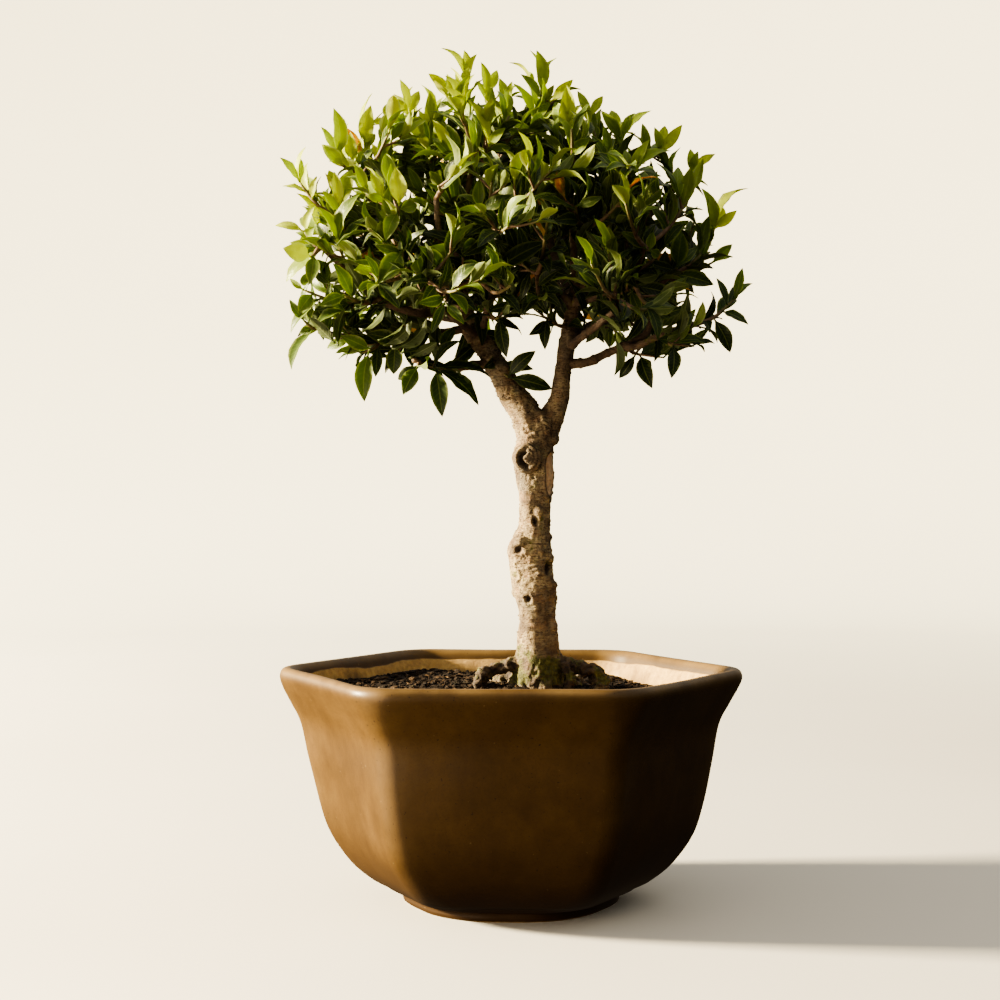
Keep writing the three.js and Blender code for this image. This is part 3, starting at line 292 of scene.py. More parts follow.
glaze = finish_named("olive_glaze_on_clay", 0.46, Coat_Weight=0.10, Coat_Roughness=0.3,
                     Specular_IOR_Level=0.25)
on_pot = place_on(glaze)
height_on_pot = node(glaze, "SeparateXYZ", {0: on_pot}, 2)
clouds = mottle(glaze, on_pot, 26, 5, 0.6)
streaks = mottle(glaze, place_on(glaze, (1, 1, 0.16)), 5, 4, 0.6)
pooled = sum_of(glaze, "ADD", sum_of(glaze, "MULTIPLY", clouds, 0.8),
                sum_of(glaze, "MULTIPLY", streaks, 0.2))
glaze_colour = shades(glaze, pooled, [
    (0.34, (0.052, 0.0265, 0.0066)), (0.50, (0.070, 0.0365, 0.0086)),
    (0.68, (0.092, 0.0495, 0.0120))])
fine_grain = eased(glaze, mottle(glaze, on_pot, 0.9, 3, 0.7), 0.48, 0.68)
glaze_colour = dabbed(glaze, fine_grain, 0.30, glaze_colour, (0.038, 0.019, 0.0055))
# Paler glaze where it breaks thin over the lip and corners; along the corners this is partly a
# painted highlight.
thin_glaze_and_highlight = sum_of(glaze, "MULTIPLY", mark_of(glaze, "lip"),
                    eased(glaze, mottle(glaze, on_pot, 22, 2), 0.15, 0.75))
glaze_colour = dabbed(glaze, thin_glaze_and_highlight, 0.55, glaze_colour, (0.24, 0.150, 0.055))
# Painted shade: the glaze is darkened towards the foot, where the wall turns down, away from the
# light.
shade_toward_foot = node(glaze, "MapRange", {"Value": height_on_pot, "From Min": 0.004,
                                    "From Max": 0.045, "To Min": 0.75, "To Max": 0.0})
glaze_colour = laid_over(glaze, shade_toward_foot, glaze_colour, (0.030, 0.015, 0.006))
iron_specks = eased(glaze, mottle(glaze, on_pot, 1.1, 1, 0.4), 0.72, 0.78)
glaze_colour = dabbed(glaze, iron_specks, 0.75, glaze_colour, (0.022, 0.012, 0.006))
pale_specks = eased(glaze, mottle(glaze, place_on(glaze, (1, 1.1, 0.9)), 1.4, 1, 0.3), 0.785, 0.82)
glaze_colour = dabbed(glaze, pale_specks, 0.2, glaze_colour, (0.42, 0.30, 0.15))
glaze_edge = sum_of(glaze, "ADD", height_on_pot,
                    sum_of(glaze, "MULTIPLY", mottle(glaze, on_pot, 34, 3), 0.0045))
below_glaze = node(glaze, "MapRange", {"Value": glaze_edge, "From Min": 0.0984,
                                       "From Max": 0.0976}, interpolation_type="SMOOTHSTEP")
bare = sum_of(glaze, "MULTIPLY", mark_of(glaze, "inside"), below_glaze)
clay_grain = mottle(glaze, on_pot, 3.2, 6, 0.7)
clay_colour = shades(glaze, clay_grain, [
    (0.3, (0.32, 0.200, 0.085)), (0.55, (0.51, 0.33, 0.130)), (0.75, (0.64, 0.44, 0.180))])
near_soil = node(glaze, "MapRange", {"Value": height_on_pot, "From Min": 0.087,
                                     "From Max": 0.099, "To Min": 0.16, "To Max": -0.1})
stain_clouds = mottle(glaze, place_on(glaze, (1, 1, 0.5)), 30, 5)
water_stain = eased(glaze, sum_of(glaze, "ADD", stain_clouds, near_soil), 0.5, 0.72)
clay_colour = dabbed(glaze, water_stain, 0.72, clay_colour, (0.105, 0.062, 0.032))
glaze_colour = laid_over(glaze, bare, glaze_colour, clay_colour)
onto(glaze, "Base Color", glaze_colour)
onto(glaze, "Roughness", node(glaze, "MapRange", {
    "Value": sum_of(glaze, "ADD", sum_of(glaze, "MULTIPLY", clouds, 0.35), bare),
    "From Min": 0.1, "From Max": 1.1, "To Min": 0.44, "To Max": 0.92}))
relief(glaze, [(mottle(glaze, on_pot, 34, 2), 0.5), (mottle(glaze, on_pot, 2.0, 4), 0.05),
               (sum_of(glaze, "MULTIPLY", clay_grain, bare), 0.35)])
pot.data.materials.append(glaze)
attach(pot, "root")
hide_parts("pot")

# ---- net over the drain hole -------------------------------------------------------------------
# A square of moulded black plastic net, two layers of crossed strands with a rim strand. It
# lies loose on the pot's floor over the drain hole and keeps the soil in.

ODD_WAY = (0.31, 0.17, 0.93)  # a direction that nothing here runs along exactly


def unit(vectors):
    return vectors / np.linalg.norm(vectors, axis=-1, keepdims=True)


def tube(points, girths, sides):
    """Points and faces of a closed tube along a line, with its own radius at each point."""
    points, girths = np.asarray(points, float), np.asarray(girths, float)
    ahead = unit(np.gradient(points, axis=0))
    across = unit(np.cross(ODD_WAY, ahead[0]))
    rings = []
    for point, girth, way in zip(points, girths, ahead):
        across = unit(across - way * (across @ way))
        other = np.cross(way, across)
        turns = np.arange(sides) / sides * 2 * math.pi
        rings.append(point + girth * (np.cos(turns)[:, None] * across
                                      + np.sin(turns)[:, None] * other))
    made, faces = joined_rings(rings)
    faces += [tuple(range(sides))[::-1], tuple(range(len(made) - sides, len(made)))]
    return made, faces


def gather(parts):
    """Several sets of points and faces as one."""
    points, faces, first = [], [], 0
    for part, part_faces in parts:
        points.append(part)
        faces += [tuple(i + first for i in face) for face in part_faces]
        first += len(part)
    return np.concatenate(points), faces


net_low, net_high = (np.array(corner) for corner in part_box("drain_mesh"))
net_middle = ((net_low + net_high) / 2 - POT_MIDDLE) / MM
net_half = (net_high - net_low)[0] / MM / 2 - 0.5
NET_STRANDS, STRAND_POINTS = 8, 15
STRAND_GIRTH, NET_RIM_GIRTH, LAYER_LIFT, STRAND_DIP = 0.36, 0.5, 0.24, 0.05
strands = []
for layer in (0, 1):
    for i in range(NET_STRANDS):
        aside = net_half * (2 * i / (NET_STRANDS - 1) - 1)
        girth = NET_RIM_GIRTH if i in (0, NET_STRANDS - 1) else STRAND_GIRTH
        strand = [np.array((along_net, aside, LAYER_LIFT * (2 * layer - 1)))
                  for along_net in np.linspace(-net_half, net_half, STRAND_POINTS)]
        if layer:
            strand = [p[[1, 0, 2]] for p in strand]
        dips = [STRAND_DIP * math.cos(math.pi * k) for k in range(STRAND_POINTS)]
        strands.append(tube([net_middle + p + (0, 0, d) for p, d in zip(strand, dips)],
                            [girth] * STRAND_POINTS, 8))
net = new_piece("drain_net", *gather(strands))
net_plastic = finish_named("black_net_plastic", 0.55)
on_net = place_on(net_plastic)
net_dust = mottle(net_plastic, on_net, 4, 4)
onto(net_plastic, "Base Color", shades(net_plastic, net_dust, [
    (0.45, (0.012, 0.013, 0.012)), (0.75, (0.050, 0.038, 0.026))]))
onto(net_plastic, "Roughness", node(net_plastic, "MapRange", {
    "Value": net_dust, "From Min": 0.3, "From Max": 0.7, "To Min": 0.42, "To Max": 0.85}))
relief(net_plastic, [(mottle(net_plastic, on_net, 0.7, 2), 0.04)])
net.data.materials.append(net_plastic)
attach(net, "root")
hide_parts("drain_mesh")

# ---- soil --------------------------------------------------------------------------------------
# Dark, moist potting soil: peaty crumbs with bark, grit and a few pale stones, heaped a little
# round the trunk and higher at the left. It fills the pot to about a centimetre below the lip.

SOIL_EDGE, SOIL_MOUND, MOUND_REACH, SOIL_FALL = 89.3, 3.0, 34, 0.030
SOIL_TOP_LEVELS, SOIL_ROUND = 88, 2
WALL_GAP = 0.5
POT_INSIDE = 88.4  # corner radius of the pot's inside at the soil's edge

# The pot's inside below the soil's surface: corner radius and height.
SOIL_UNDER = [(54, 15.8), (70, 28.8), (77.6, 44), (82.6, 66)]

# Kinds of grit: chosen by a draw below this, least and greatest size, flatness, and least and
# greatest paleness. Fine crumbs, flat bark, pale stones and larger lumps.
GRIT_COUNT = 3300
GRIT_KINDS = [(0.62, 0.4, 1.0, 0.8, 0.05, 0.4), (0.90, 0.9, 2.2, 0.3, 0.15, 0.55),
              (0.965, 0.5, 1.1, 0.7, 0.7, 1.0), (1.0, 1.6, 2.7, 0.45, 0.1, 0.45)]

# X, Y and size of the largest bark chips, where they show over the lip.
CHIPS = [(50, 14, 3.2), (56, 18, 3.6), (61, 10, 2.8), (47, 22, 2.6), (-34, 20, 2.4),
         (-46, 34, 2.8), (-60, 26, 3.2), (-52, 12, 2.2), (-27, -6, 2.2), (28, 30, 2.4),
         (27, -20, 3.0), (33, -30, 3.4), (20, -34, 2.6), (36, -16, 2.6), (-8, -28, 2.6),
         (-20, -32, 3.0), (44, -24, 3.0)]
CHIP_FLAT = 0.45


def soil_height(x, y):
    """Height of the soil's surface, with its heaps and crumbs."""
    away = math.hypot(x - 11, y) / MOUND_REACH
    height = SOIL_EDGE + SOIL_MOUND * math.exp(-away * away) - SOIL_FALL * x
    height += 1.5 * waver((x, y, 0), 30, 51) + 1.1 * waver((x, y, 0), 9, 53)
    crumbs = 1.15 * abs(waver((x, y, 0), 4.2, 57)) + 0.8 * abs(waver((x, y, 0), 2.0, 59))
    return height + crumbs


def swelling(x, y, z, radius, rings=8, sides=14):
    """A round swelling."""
    heights_of = [radius * math.cos(math.pi * (i + 0.5) / rings) for i in range(rings)]
    girths = [math.sqrt(radius ** 2 - h ** 2) for h in heights_of]
    return tube([(x, y, z + h) for h in heights_of[::-1]], girths[::-1], sides)


soil_rim = hexagon(POT_INSIDE - WALL_GAP, SOIL_EDGE, 19)
soil_rim = np.concatenate([
    soil_rim + (np.roll(soil_rim, -1, axis=0) - soil_rim) * part / SOIL_ROUND
    for part in range(SOIL_ROUND)]).reshape(SOIL_ROUND, -1, 3).transpose(1, 0, 2).reshape(-1, 3)
soil_rings = []
for radius, height in SOIL_UNDER:
    ring = soil_rim.copy()
    ring[:, :2] *= (radius - WALL_GAP) / (POT_INSIDE - WALL_GAP)
    ring[:, 2] = height
    soil_rings.append(ring)
floor_ring = soil_rings[0].copy()
floor_ring[:, :2] *= 0.6
floor_ring[:, 2] = FLOOR_TOP + 1.8
soil_rings.insert(0, floor_ring)
for level in range(SOIL_TOP_LEVELS):
    share = 1 - (level / SOIL_TOP_LEVELS) ** 1.02 * 0.985
    ring = soil_rim.copy()
    ring[:, :2] *= share
    ring[:, 2] = [soil_height(x, y) for x, y, _ in ring]
    soil_rings.append(ring)
soil_points, soil_faces = joined_rings(soil_rings)
round_count = len(soil_rim)
soil_faces += [tuple(range(round_count))[::-1],
               tuple(range(len(soil_points) - round_count, len(soil_points)))]
soil = new_piece("soil_bed", soil_points, soil_faces)
marked(soil, "paleness", [0.25 + 0.3 * waver(p, 5, 61) for p in soil_points])


def crumb(place, size, flat, draw):
    """One lump of grit or bark: a rough rounded lump, turned at random."""
    points, faces = swelling(0, 0, 0, 1.0, 4, 6)
    points = np.array([p * (1 + 0.5 * waver(p, 0.8, 70 + 9 * draw.random())) for p in points])
    points *= np.array([size * draw.uniform(0.9, 1.5), size * draw.uniform(0.6, 1.0), size * flat])
    yaw, lean = draw.uniform(0, 6.283), draw.uniform(-0.5, 0.5)
    c, s = math.cos(lean), math.sin(lean)
    points = points @ np.array([[1, 0, 0], [0, c, s], [0, -s, c]])
    c, s = math.cos(yaw), math.sin(yaw)
    points = points @ np.array([[c, s, 0], [-s, c, 0], [0, 0, 1]])
    return points + place, faces


def on_the_soil(x, y):
    """Whether a place is within the pot's six walls, a little inside them."""
    reach = max(abs(x * math.cos(a) + y * math.sin(a))
                for a in (math.pi / 6, math.pi / 2, 5 * math.pi / 6))
    return reach < 88 * math.cos(math.pi / 6) * 0.98


grit_draw = random.Random(21)
grit, paleness = [], []
while len(grit) < GRIT_COUNT:
    x, y = grit_draw.uniform(-88, 88), grit_draw.uniform(-78, 78)
    kind = grit_draw.random()
    if not on_the_soil(x, y):
        continue
    _, smallest, largest, flat, darkest, palest = next(k for k in GRIT_KINDS if kind < k[0])
    size, pale = grit_draw.uniform(smallest, largest), grit_draw.uniform(darkest, palest)
    place = np.array((x, y, soil_height(x, y) + 0.15 * size))
    grit.append(crumb(place, size, flat, grit_draw))
    paleness += [pale] * len(grit[-1][0])
for x, y, size in CHIPS:
    place = np.array((x, y, soil_height(x, y) + 0.3 * size))
    grit.append(crumb(place, size, CHIP_FLAT, grit_draw))
    paleness += [grit_draw.uniform(0.2, 0.6)] * len(grit[-1][0])
grit_points, grit_faces = gather(grit)
soil_grit = new_piece("soil_grit", grit_points, grit_faces, smooth=False)
marked(soil_grit, "paleness", paleness)

earth = finish_named("moist_peaty_soil", 0.9, Specular_IOR_Level=0.2)
on_soil = place_on(earth)
soil_clouds = mottle(earth, on_soil, 2.2, 6, 0.7)
shade_of_soil = sum_of(earth, "ADD", sum_of(earth, "MULTIPLY", soil_clouds, 0.45),
                       sum_of(earth, "MULTIPLY", mark_of(earth, "paleness"), 0.55))
soil_colour = shades(earth, shade_of_soil, [
    (0.24, (0.006, 0.0035, 0.002)), (0.40, (0.020, 0.011, 0.006)), (0.55, (0.055, 0.031, 0.015)),
    (0.68, (0.12, 0.070, 0.033)), (0.80, (0.29, 0.190, 0.100))])
damp = eased(earth, mottle(earth, on_soil, 18, 3), 0.45, 0.65)
soil_colour = dabbed(earth, damp, 0.5, soil_colour, (0.012, 0.008, 0.005))
green_film = eased(earth, mottle(earth, on_soil, 11, 4, 0.65), 0.62, 0.74)
soil_colour = dabbed(earth, green_film, 0.5, soil_colour, (0.055, 0.062, 0.016))
onto(earth, "Base Color", soil_colour)
relief(earth, [(soil_clouds, 0.7), (mottle(earth, on_soil, 0.6, 4, 0.7), 0.25)])
for piece in (soil, soil_grit):
    piece.data.materials.append(earth)
    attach(piece, "root")
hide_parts("soil")

# ---- trunk, limbs, branches and roots ----------------------------------------------------------
# The tree's living wood, all one piece: a stout trunk that forks into two limbs, the branches
# that they carry, and surface roots that dive into the soil. Pale grey-buff bark with ring
# scars, a healed eye where a branch was cut, a pale pruning wound and moss at the base.

# X, Y, Z of the middle, half width across the front, half width front to back.
TRUNK = [
    (11, 1, 58, 3, 3), (11, 1, 68, 10, 9), (11, 0, 80, 14, 13), (11, 0, 90, 12.8, 12),
    (11.5, 0, 97, 11, 10.8), (11.6, 0, 105, 9.8, 9.6), (11.4, 0, 114, 8.7, 8.8),
    (11.2, 0, 124, 7.9, 8.3), (10.3, 0, 134, 9.4, 8.8), (8.9, 0, 145, 9.3, 8.8),
    (8.7, 0, 153, 9.1, 8.3), (10, 0, 161, 7, 7.2), (10.2, 0, 169, 6.8, 7),
    (10.4, 0, 176, 6.9, 7), (10.4, 0, 184, 8.5, 7.4), (9.7, 0, 193, 8.3, 7.4),
    (10.9, 0, 200, 8.4, 7.2), (11.2, 0, 207, 9.6, 6.8), (12, 0, 211.5, 7, 5.4)]

# Points of each limb's and branch's middle line, from the wood that it grew out of.
BRANCHES = {
    "limb_left": [(10.5, 0, 200), (6, 0, 211), (0, -1, 220), (-3, -2, 226), (-7, -2, 232),
        (-11, -1, 239), (-16, 0, 245), (-19, 2, 252), (-21, 4, 258), (-22, 7, 267)],
    "limb_right": [(13, 1, 200), (18, 1, 210), (21, 0, 217), (22, -1, 225), (23, -1, 232),
        (24, -1, 238), (25, 0, 245), (26, 1, 252), (27, -1, 260), (28, -3, 268)],
    "left_low": [(-8, -2, 233), (-17, -7, 231), (-24, -11, 230), (-30, -15, 230), (-35, -19, 232),
        (-40, -26, 232)],
    "left_long": [(-19, 2, 253), (-30, -1, 255), (-41, -6, 254), (-57, -14, 259), (-64, -16, 265),
        (-79, -19, 280)],
    "left_under": [(-17, 1, 248), (-31, 1, 246), (-47, -4, 243), (-63, -10, 242), (-80, -15, 245)],
    "left_mid": [(-21, 3, 259), (-34, -11, 263), (-39, -23, 269), (-41, -34, 276),
        (-43, -40, 282)],
    "left_far": [(-21, 5, 261), (-38, 1, 265), (-52, -6, 273), (-65, -10, 283), (-76, -13, 295)],
    "left_upper": [(-21, 7, 268), (-32, 9, 277), (-45, 6, 287), (-59, -2, 301), (-63, -7, 310)],
    "left_front_stem": [(-14, -2, 244), (-11, -10, 250), (-10, -17, 257), (-11, -32, 272),
        (-12, -42, 286)],
    "left_leader": [(-22, 7, 266), (-20, 3, 287), (-18, -13, 306), (-16, -19, 314)],
    "left_crown": [(-20, 4, 286), (-22, 13, 304), (-23, 15, 322), (-22, 11, 341)],
    "left_top": [(-21, 7, 275), (-29, 9, 294), (-37, 7, 311), (-42, 2, 326)],
    "left_front": [(-15, -3, 245), (-23, -23, 250), (-30, -43, 255), (-35, -59, 260)],
    "left_front_high": [(-21, 2, 260), (-26, -26, 270), (-28, -43, 282), (-29, -49, 296)],
    "left_back_low": [(-18, 4, 251), (-31, 29, 255), (-44, 50, 260)],
    "left_back_mid": [(-20, 4, 255), (-28, 24, 267), (-43, 43, 283), (-59, 58, 299)],
    "left_back_high": [(-21, 8, 265), (-19, 29, 279), (-17, 49, 296), (-17, 61, 314)],
    "middle_back": [(-20, 5, 258), (-9, 34, 266), (0, 60, 276), (4, 76, 289)],
    "mid_top": [(-20, 7, 286), (-13, 28, 306), (-6, 34, 325), (-4, 31, 338)],
    "right_low": [(25, -1, 232), (34, -3, 233), (41, -4, 236), (48, -6, 239), (56, -6, 243),
        (60, -6, 248), (64, -10, 265)],
    "right_low_outer": [(48, -6, 239), (55, -12, 239), (64, -16, 243), (77, -16, 247)],
    "right_mid": [(27, -2, 259), (34, -11, 259), (44, -26, 263), (54, -38, 271)],
    "right_up": [(27, -1, 261), (32, -3, 267), (39, -7, 282), (49, -12, 303)],
    "right_leader": [(28, -3, 266), (27, -17, 284), (26, -29, 303)],
    "right_inner": [(27, -1, 258), (23, -7, 261), (17, -13, 264), (12, -18, 266)],
    "right_out": [(25, 1, 244), (43, 16, 254), (66, 31, 268), (78, 33, 277), (87, 31, 286)],
    "right_top": [(27, 1, 259), (21, 13, 275), (16, 19, 291), (9, 18, 322), (10, 11, 341)],
    "right_high": [(27, 2, 258), (39, 5, 271), (52, 6, 287), (63, 4, 300), (70, 3, 308)],
    "right_front": [(26, -3, 240), (32, -23, 243), (38, -41, 246), (44, -56, 250)],
    "right_back_low": [(25, 3, 243), (35, 27, 249), (47, 50, 255)],
    "right_back_mid": [(25, 2, 247), (30, 23, 260), (39, 44, 274), (47, 60, 287)],
    "right_back_high": [(27, 2, 255), (21, 26, 267), (16, 49, 283), (14, 65, 298)],
}
LIMB_GIRTHS = {
    "limb_left": (7.6, 6.8, 6, 5.4, 5.1, 4.9, 4.6, 4.1, 3.6, 2.6),
    "limb_right": (7, 5.4, 4.4, 3.9, 3.7, 3.8, 3.5, 3.3, 2.9, 2.3)}
BRANCH_GIRTHS = {
    "left_low": (2.2, 1.2), "left_long": (2.3, 1.1), "left_front_stem": (1.6, 1.1),
    "left_leader": (2, 1.1), "right_low": (2.1, 1.1), "right_out": (2.1, 1.1)}
COMMON_GIRTH = (1.8, 1.1)

# Roots: X, Y, Z of the middle and the radius.
ROOTS = [
    [(8, 0, 101, 5), (0, -2, 101.5, 3.2), (-6, -3, 100, 2.8), (-11, -4, 98, 2.6),
     (-13.5, -5, 92, 2.7), (-14, -7, 76, 2.2)],
    [(14, 0, 102, 5.5), (21, -1, 102, 3.9), (27, -1.5, 101, 3.2), (33, -2, 99.5, 3),
     (38.5, -2.5, 96, 3.6), (40, -4, 88, 4), (41, -6, 74, 2.5)],
    [(19, -3, 103, 2.4), (24, -5, 100, 2.0), (25.6, -6.5, 95, 1.9), (25.5, -8, 84, 1.6)],
    [(13, -2, 93, 6), (16, -11, 82, 5), (19, -24, 83, 4.4), (21, -36, 73, 2.5)],
    [(8, -2, 92, 6), (1, -11, 81, 5), (-6, -23, 81, 4), (-12, -32, 70, 2.5)],
    [(15, 4, 100, 5.5), (23, 16, 94, 4.2), (32, 27, 87, 3.6), (40, 36, 75, 2.5)],
    [(7, 5, 99, 5.5), (-3, 16, 93, 4.2), (-13, 27, 86, 3.6), (-20, 36, 73, 2.5)]]

# Pruning stubs and swellings: place and radius.
STUBS = [
    (7.2, -7.2, 191, 6), (18.4, -2, 199.6, 2.7), (16.6, -4.2, 148, 2.4), (4.6, -7.4, 155, 2.2),
    (12.4, -6.6, 168, 2), (15.5, -5.5, 132, 2.2), (2.5, 0, 133, 2.6), (16.9, 0, 157, 1.6)]

TRUNK_SIDES, LIMB_SIDES, ROOT_SIDES, BRANCH_SIDES = 30, 16, 14, 9
ROOT_SWAY, ROOT_KNOBS = 0.9, 1.7
BARK_CELL, BARK_EASE_ROUNDS = 0.56, 5  # size of the bark's mesh, and how often it is eased
BARK_SWELLS = [(0.45, 7.5, 2), (0.26, 2.4, 4)]  # height, width and seed
RING_HEIGHT, GRAIN_HEIGHT, CREASE_DEPTH, CREASE_WIDTH = 1.05, 0.2, 0.34, 0.14
BACK_SCARS = 16
MOSS_UPTO, ROOTS_FROM = 114, 109  # heights where the moss ends and the roots' rough bark starts

# Marks on the trunk's front: X, height, half width, half height, and how far it stands out.
KNOBS = [(12.6, 165.4, 1.0, 1.2, 0.7), (3.2, 152.0, 3.6, 3.8, 1.0), (12.8, 142.3, 2.2, 2.6, 1.1),
         (13.4, 146.6, 1.6, 1.2, 0.6), (11.0, 128.8, 1.8, 1.3, 0.55),
         (11.3, 126.4, 1.5, 1.2, 0.9), (19.0, 136.4, 1.1, 1.6, 0.9), (18.6, 118.4, 1.2, 1.5, 1.1)]
# The same for rotted stubs, and how deep each is.
HOLES = [(10.7, 163.9, 1.1, 1.7, 1.8), (3.2, 151.8, 1.5, 1.7, 3.0), (16.2, 143.4, 1.1, 2.8, 1.7),
         (7.6, 130.4, 1.2, 1.4, 1.6)]
# How high the rim round each hole stands, and how much painted shade fills the hole.
HOLE_RIM, HOLE_SHADE = 0.22, 1.4

trunk_line = smooth_through(TRUNK, 3)
trunk_rings = []
for level, (x, y, z, wide, deep) in enumerate(trunk_line):
    turns = np.arange(TRUNK_SIDES) / TRUNK_SIDES * 2 * math.pi
    ripple = 1 + 0.04 * np.cos(3 * turns + level / 3)
    trunk_rings.append(np.stack([x + np.cos(turns) * wide * ripple,
                                 y + np.sin(turns) * deep * ripple,
                                 np.full(TRUNK_SIDES, z)], 1))
trunk_skin, trunk_faces = joined_rings(trunk_rings)
trunk_faces += [tuple(range(TRUNK_SIDES))[::-1],
                tuple(range(len(trunk_skin) - TRUNK_SIDES, len(trunk_skin)))]
stout = [(trunk_skin, trunk_faces)]
axes = [(trunk_line[:, :3], trunk_line[:, 3:].mean(1))]
for name, girths in LIMB_GIRTHS.items():
    line = smooth_through([(*p, g) for p, g in zip(BRANCHES[name], girths)], 4)
    axes.append((line[:, :3], line[:, 3]))
    stout.append(tube(line[:, :3], line[:, 3], LIMB_SIDES))
for root in ROOTS:
    line = smooth_through(root, 5)
    for i, place in enumerate(line):
        line[i, :3] += ROOT_SWAY * np.array([
            waver(place[:3], 9, 11), waver(place[:3], 9, 17), 0.6 * waver(place[:3], 9, 23)])
        line[i, 3] *= 1 + 0.22 * waver(place[:3], 6, 31)
    axes.append((line[:, :3], line[:, 3]))
    stout.append(tube(line[:, :3], line[:, 3], ROOT_SIDES))
stout += [swelling(*stub) for stub in STUBS]
rough_cast = new_piece("rough_cast", *gather(stout))
remesh = rough_cast.modifiers.new("skin_over", "REMESH")
remesh.mode = "VOXEL"
remesh.voxel_size = BARK_CELL * MM
ease = rough_cast.modifiers.new("ease", "SMOOTH")
ease.factor = 0.5
ease.iterations = BARK_EASE_ROUNDS
cast_over = rough_cast.evaluated_get(bpy.context.evaluated_depsgraph_get())
bark_mesh = bpy.data.meshes.new_from_object(cast_over)
bpy.data.objects.remove(rough_cast)


def bare_numbers(mesh):
    """The mesh's points in millimetres round the pot's middle, its normals and its faces."""
    points = np.zeros(len(mesh.vertices) * 3)
    normals = np.zeros(len(mesh.vertices) * 3)
    mesh.vertices.foreach_get("co", points)
    mesh.vertices.foreach_get("normal", normals)
    faces = [tuple(face.vertices) for face in mesh.polygons]
    return ((points.reshape(-1, 3) - POT_MIDDLE) / MM, normals.reshape(-1, 3), faces)


bark_points, bark_normals, bark_faces = bare_numbers(bark_mesh)

# Each point's place on the wood: how far along its line, how far round, and the girth there.
near = np.full(len(bark_points), 1e9)
along_wood, round_wood, girth = np.zeros((3, len(bark_points)))
for line, girths in axes:
    run = 0.0
    for a, b, girth_a, girth_b in zip(line[:-1], line[1:], girths[:-1], girths[1:]):
        step = np.linalg.norm(b - a)
        way = (b - a) / step
        t = np.clip((bark_points - a) @ way / step, 0, 1)
        here = girth_a + (girth_b - girth_a) * t
        off = bark_points - (a + t[:, None] * (b - a))
        score = np.linalg.norm(off, axis=1) - here
        closer = score < near
        front = unit(np.array((0.0, -1.0, 0.0)) + way * way[1])
        right = np.cross(way, front)
        angle = np.arctan2(off @ right, off @ front)
        near[closer] = score[closer]
        along_wood[closer] = (run + t * step)[closer]
        round_wood[closer] = angle[closer]
        girth[closer] = here[closer]
        run += step

# How far the bark stands out at each point, and how much it is darkened there: partly darker bark,
# mostly painted shade in creases, hollows and holes.
lift = np.zeros(len(bark_points))
shade_and_dark_bark = np.zeros(len(bark_points))
for i, (x, y, z) in enumerate(bark_points):
    s, turn, r = along_wood[i], round_wood[i], girth[i]
    u, w = math.cos(turn) * r, math.sin(turn) * r
    lift[i] = sum(high * waver((x, y, z), wide, seed) for high, wide, seed in BARK_SWELLS)
    ring = waver((u / 3.4, w / 3.4, s / 0.75), 1, 6)
    scar_ring = max(0.0, ring - 0.16) * 1.5
    rugged = 0.35 + 0.9 * eased_step(waver((x, y, z), 13, 27), -0.25, 0.35)
    lift[i] += RING_HEIGHT * rugged * scar_ring
    lift[i] += GRAIN_HEIGHT * rugged * waver((x, y, z), 1.15, 29)
    crease = abs(waver((u / 2.2, w / 2.2, s / 1.7), 1, 9))
    lift[i] -= CREASE_DEPTH * rugged * max(0.0, CREASE_WIDTH - crease) / CREASE_WIDTH
    # Painted shade darkens the creases; the ring scars are darkened too, partly as darker bark and
    # partly as painted shade.
    shade_and_dark_bark[i] = 0.42 * max(0.0, 0.1 - crease) / 0.1 + 0.55 * scar_ring
rough_root = eased_step(ROOTS_FROM - bark_points[:, 2], 0, 9) * eased_step(
    np.hypot(bark_points[:, 0] - 11.5, bark_points[:, 1]), 9, 13)
for i in np.flatnonzero(rough_root > 0):
    knobs = waver(bark_points[i], 3.4, 12) + 0.6 * waver(bark_points[i], 1.8, 14)
    lift[i] += rough_root[i] * ROOT_KNOBS * knobs
    # The roots' bark is darker, with painted shade added in the hollows between their knobs.
    shade_and_dark_bark[i] += rough_root[i] * (0.36 + max(0.0, 0.05 - knobs) * 2.2)

# The marks on the front each lift or sink the bark round them.
front_side = bark_normals[:, 1] < 0.35
across_front, height_front = bark_points[:, 0], bark_points[:, 2]
on_trunk = front_side & (np.hypot(across_front - 10.5, bark_points[:, 1]) < 14)


def round_mark(x, z, wide, tall):
    """Distance from a mark's middle, in its own half sizes; far away at the back."""
    away = np.hypot((across_front - x) / wide, (height_front - z) / tall)
    return np.where(on_trunk, away, 9.0)


ragged = np.array([1 + 0.22 * waver(p, 1.9, 33) for p in bark_points])
for *mark, raised in KNOBS:
    lift += raised * np.exp(-round_mark(*mark) ** 2)
for *mark, depth in HOLES:
    away = round_mark(*mark) * ragged
    lift -= depth * np.exp(-away ** 2.6)
    # Painted shade fills each hole.
    shade_and_dark_bark += HOLE_SHADE * np.exp(-away ** 2.6)
    lift += HOLE_RIM * np.exp(-((away - 1.75) / 0.5) ** 2)
squiggle = np.abs(across_front - (3.0 + 1.0 * np.sin((height_front - 138) / 1.45)))
squiggle = np.where(on_trunk & (height_front > 137) & (height_front < 147), squiggle, 9)
lift += 0.6 * np.exp(-(squiggle / 0.6) ** 2)

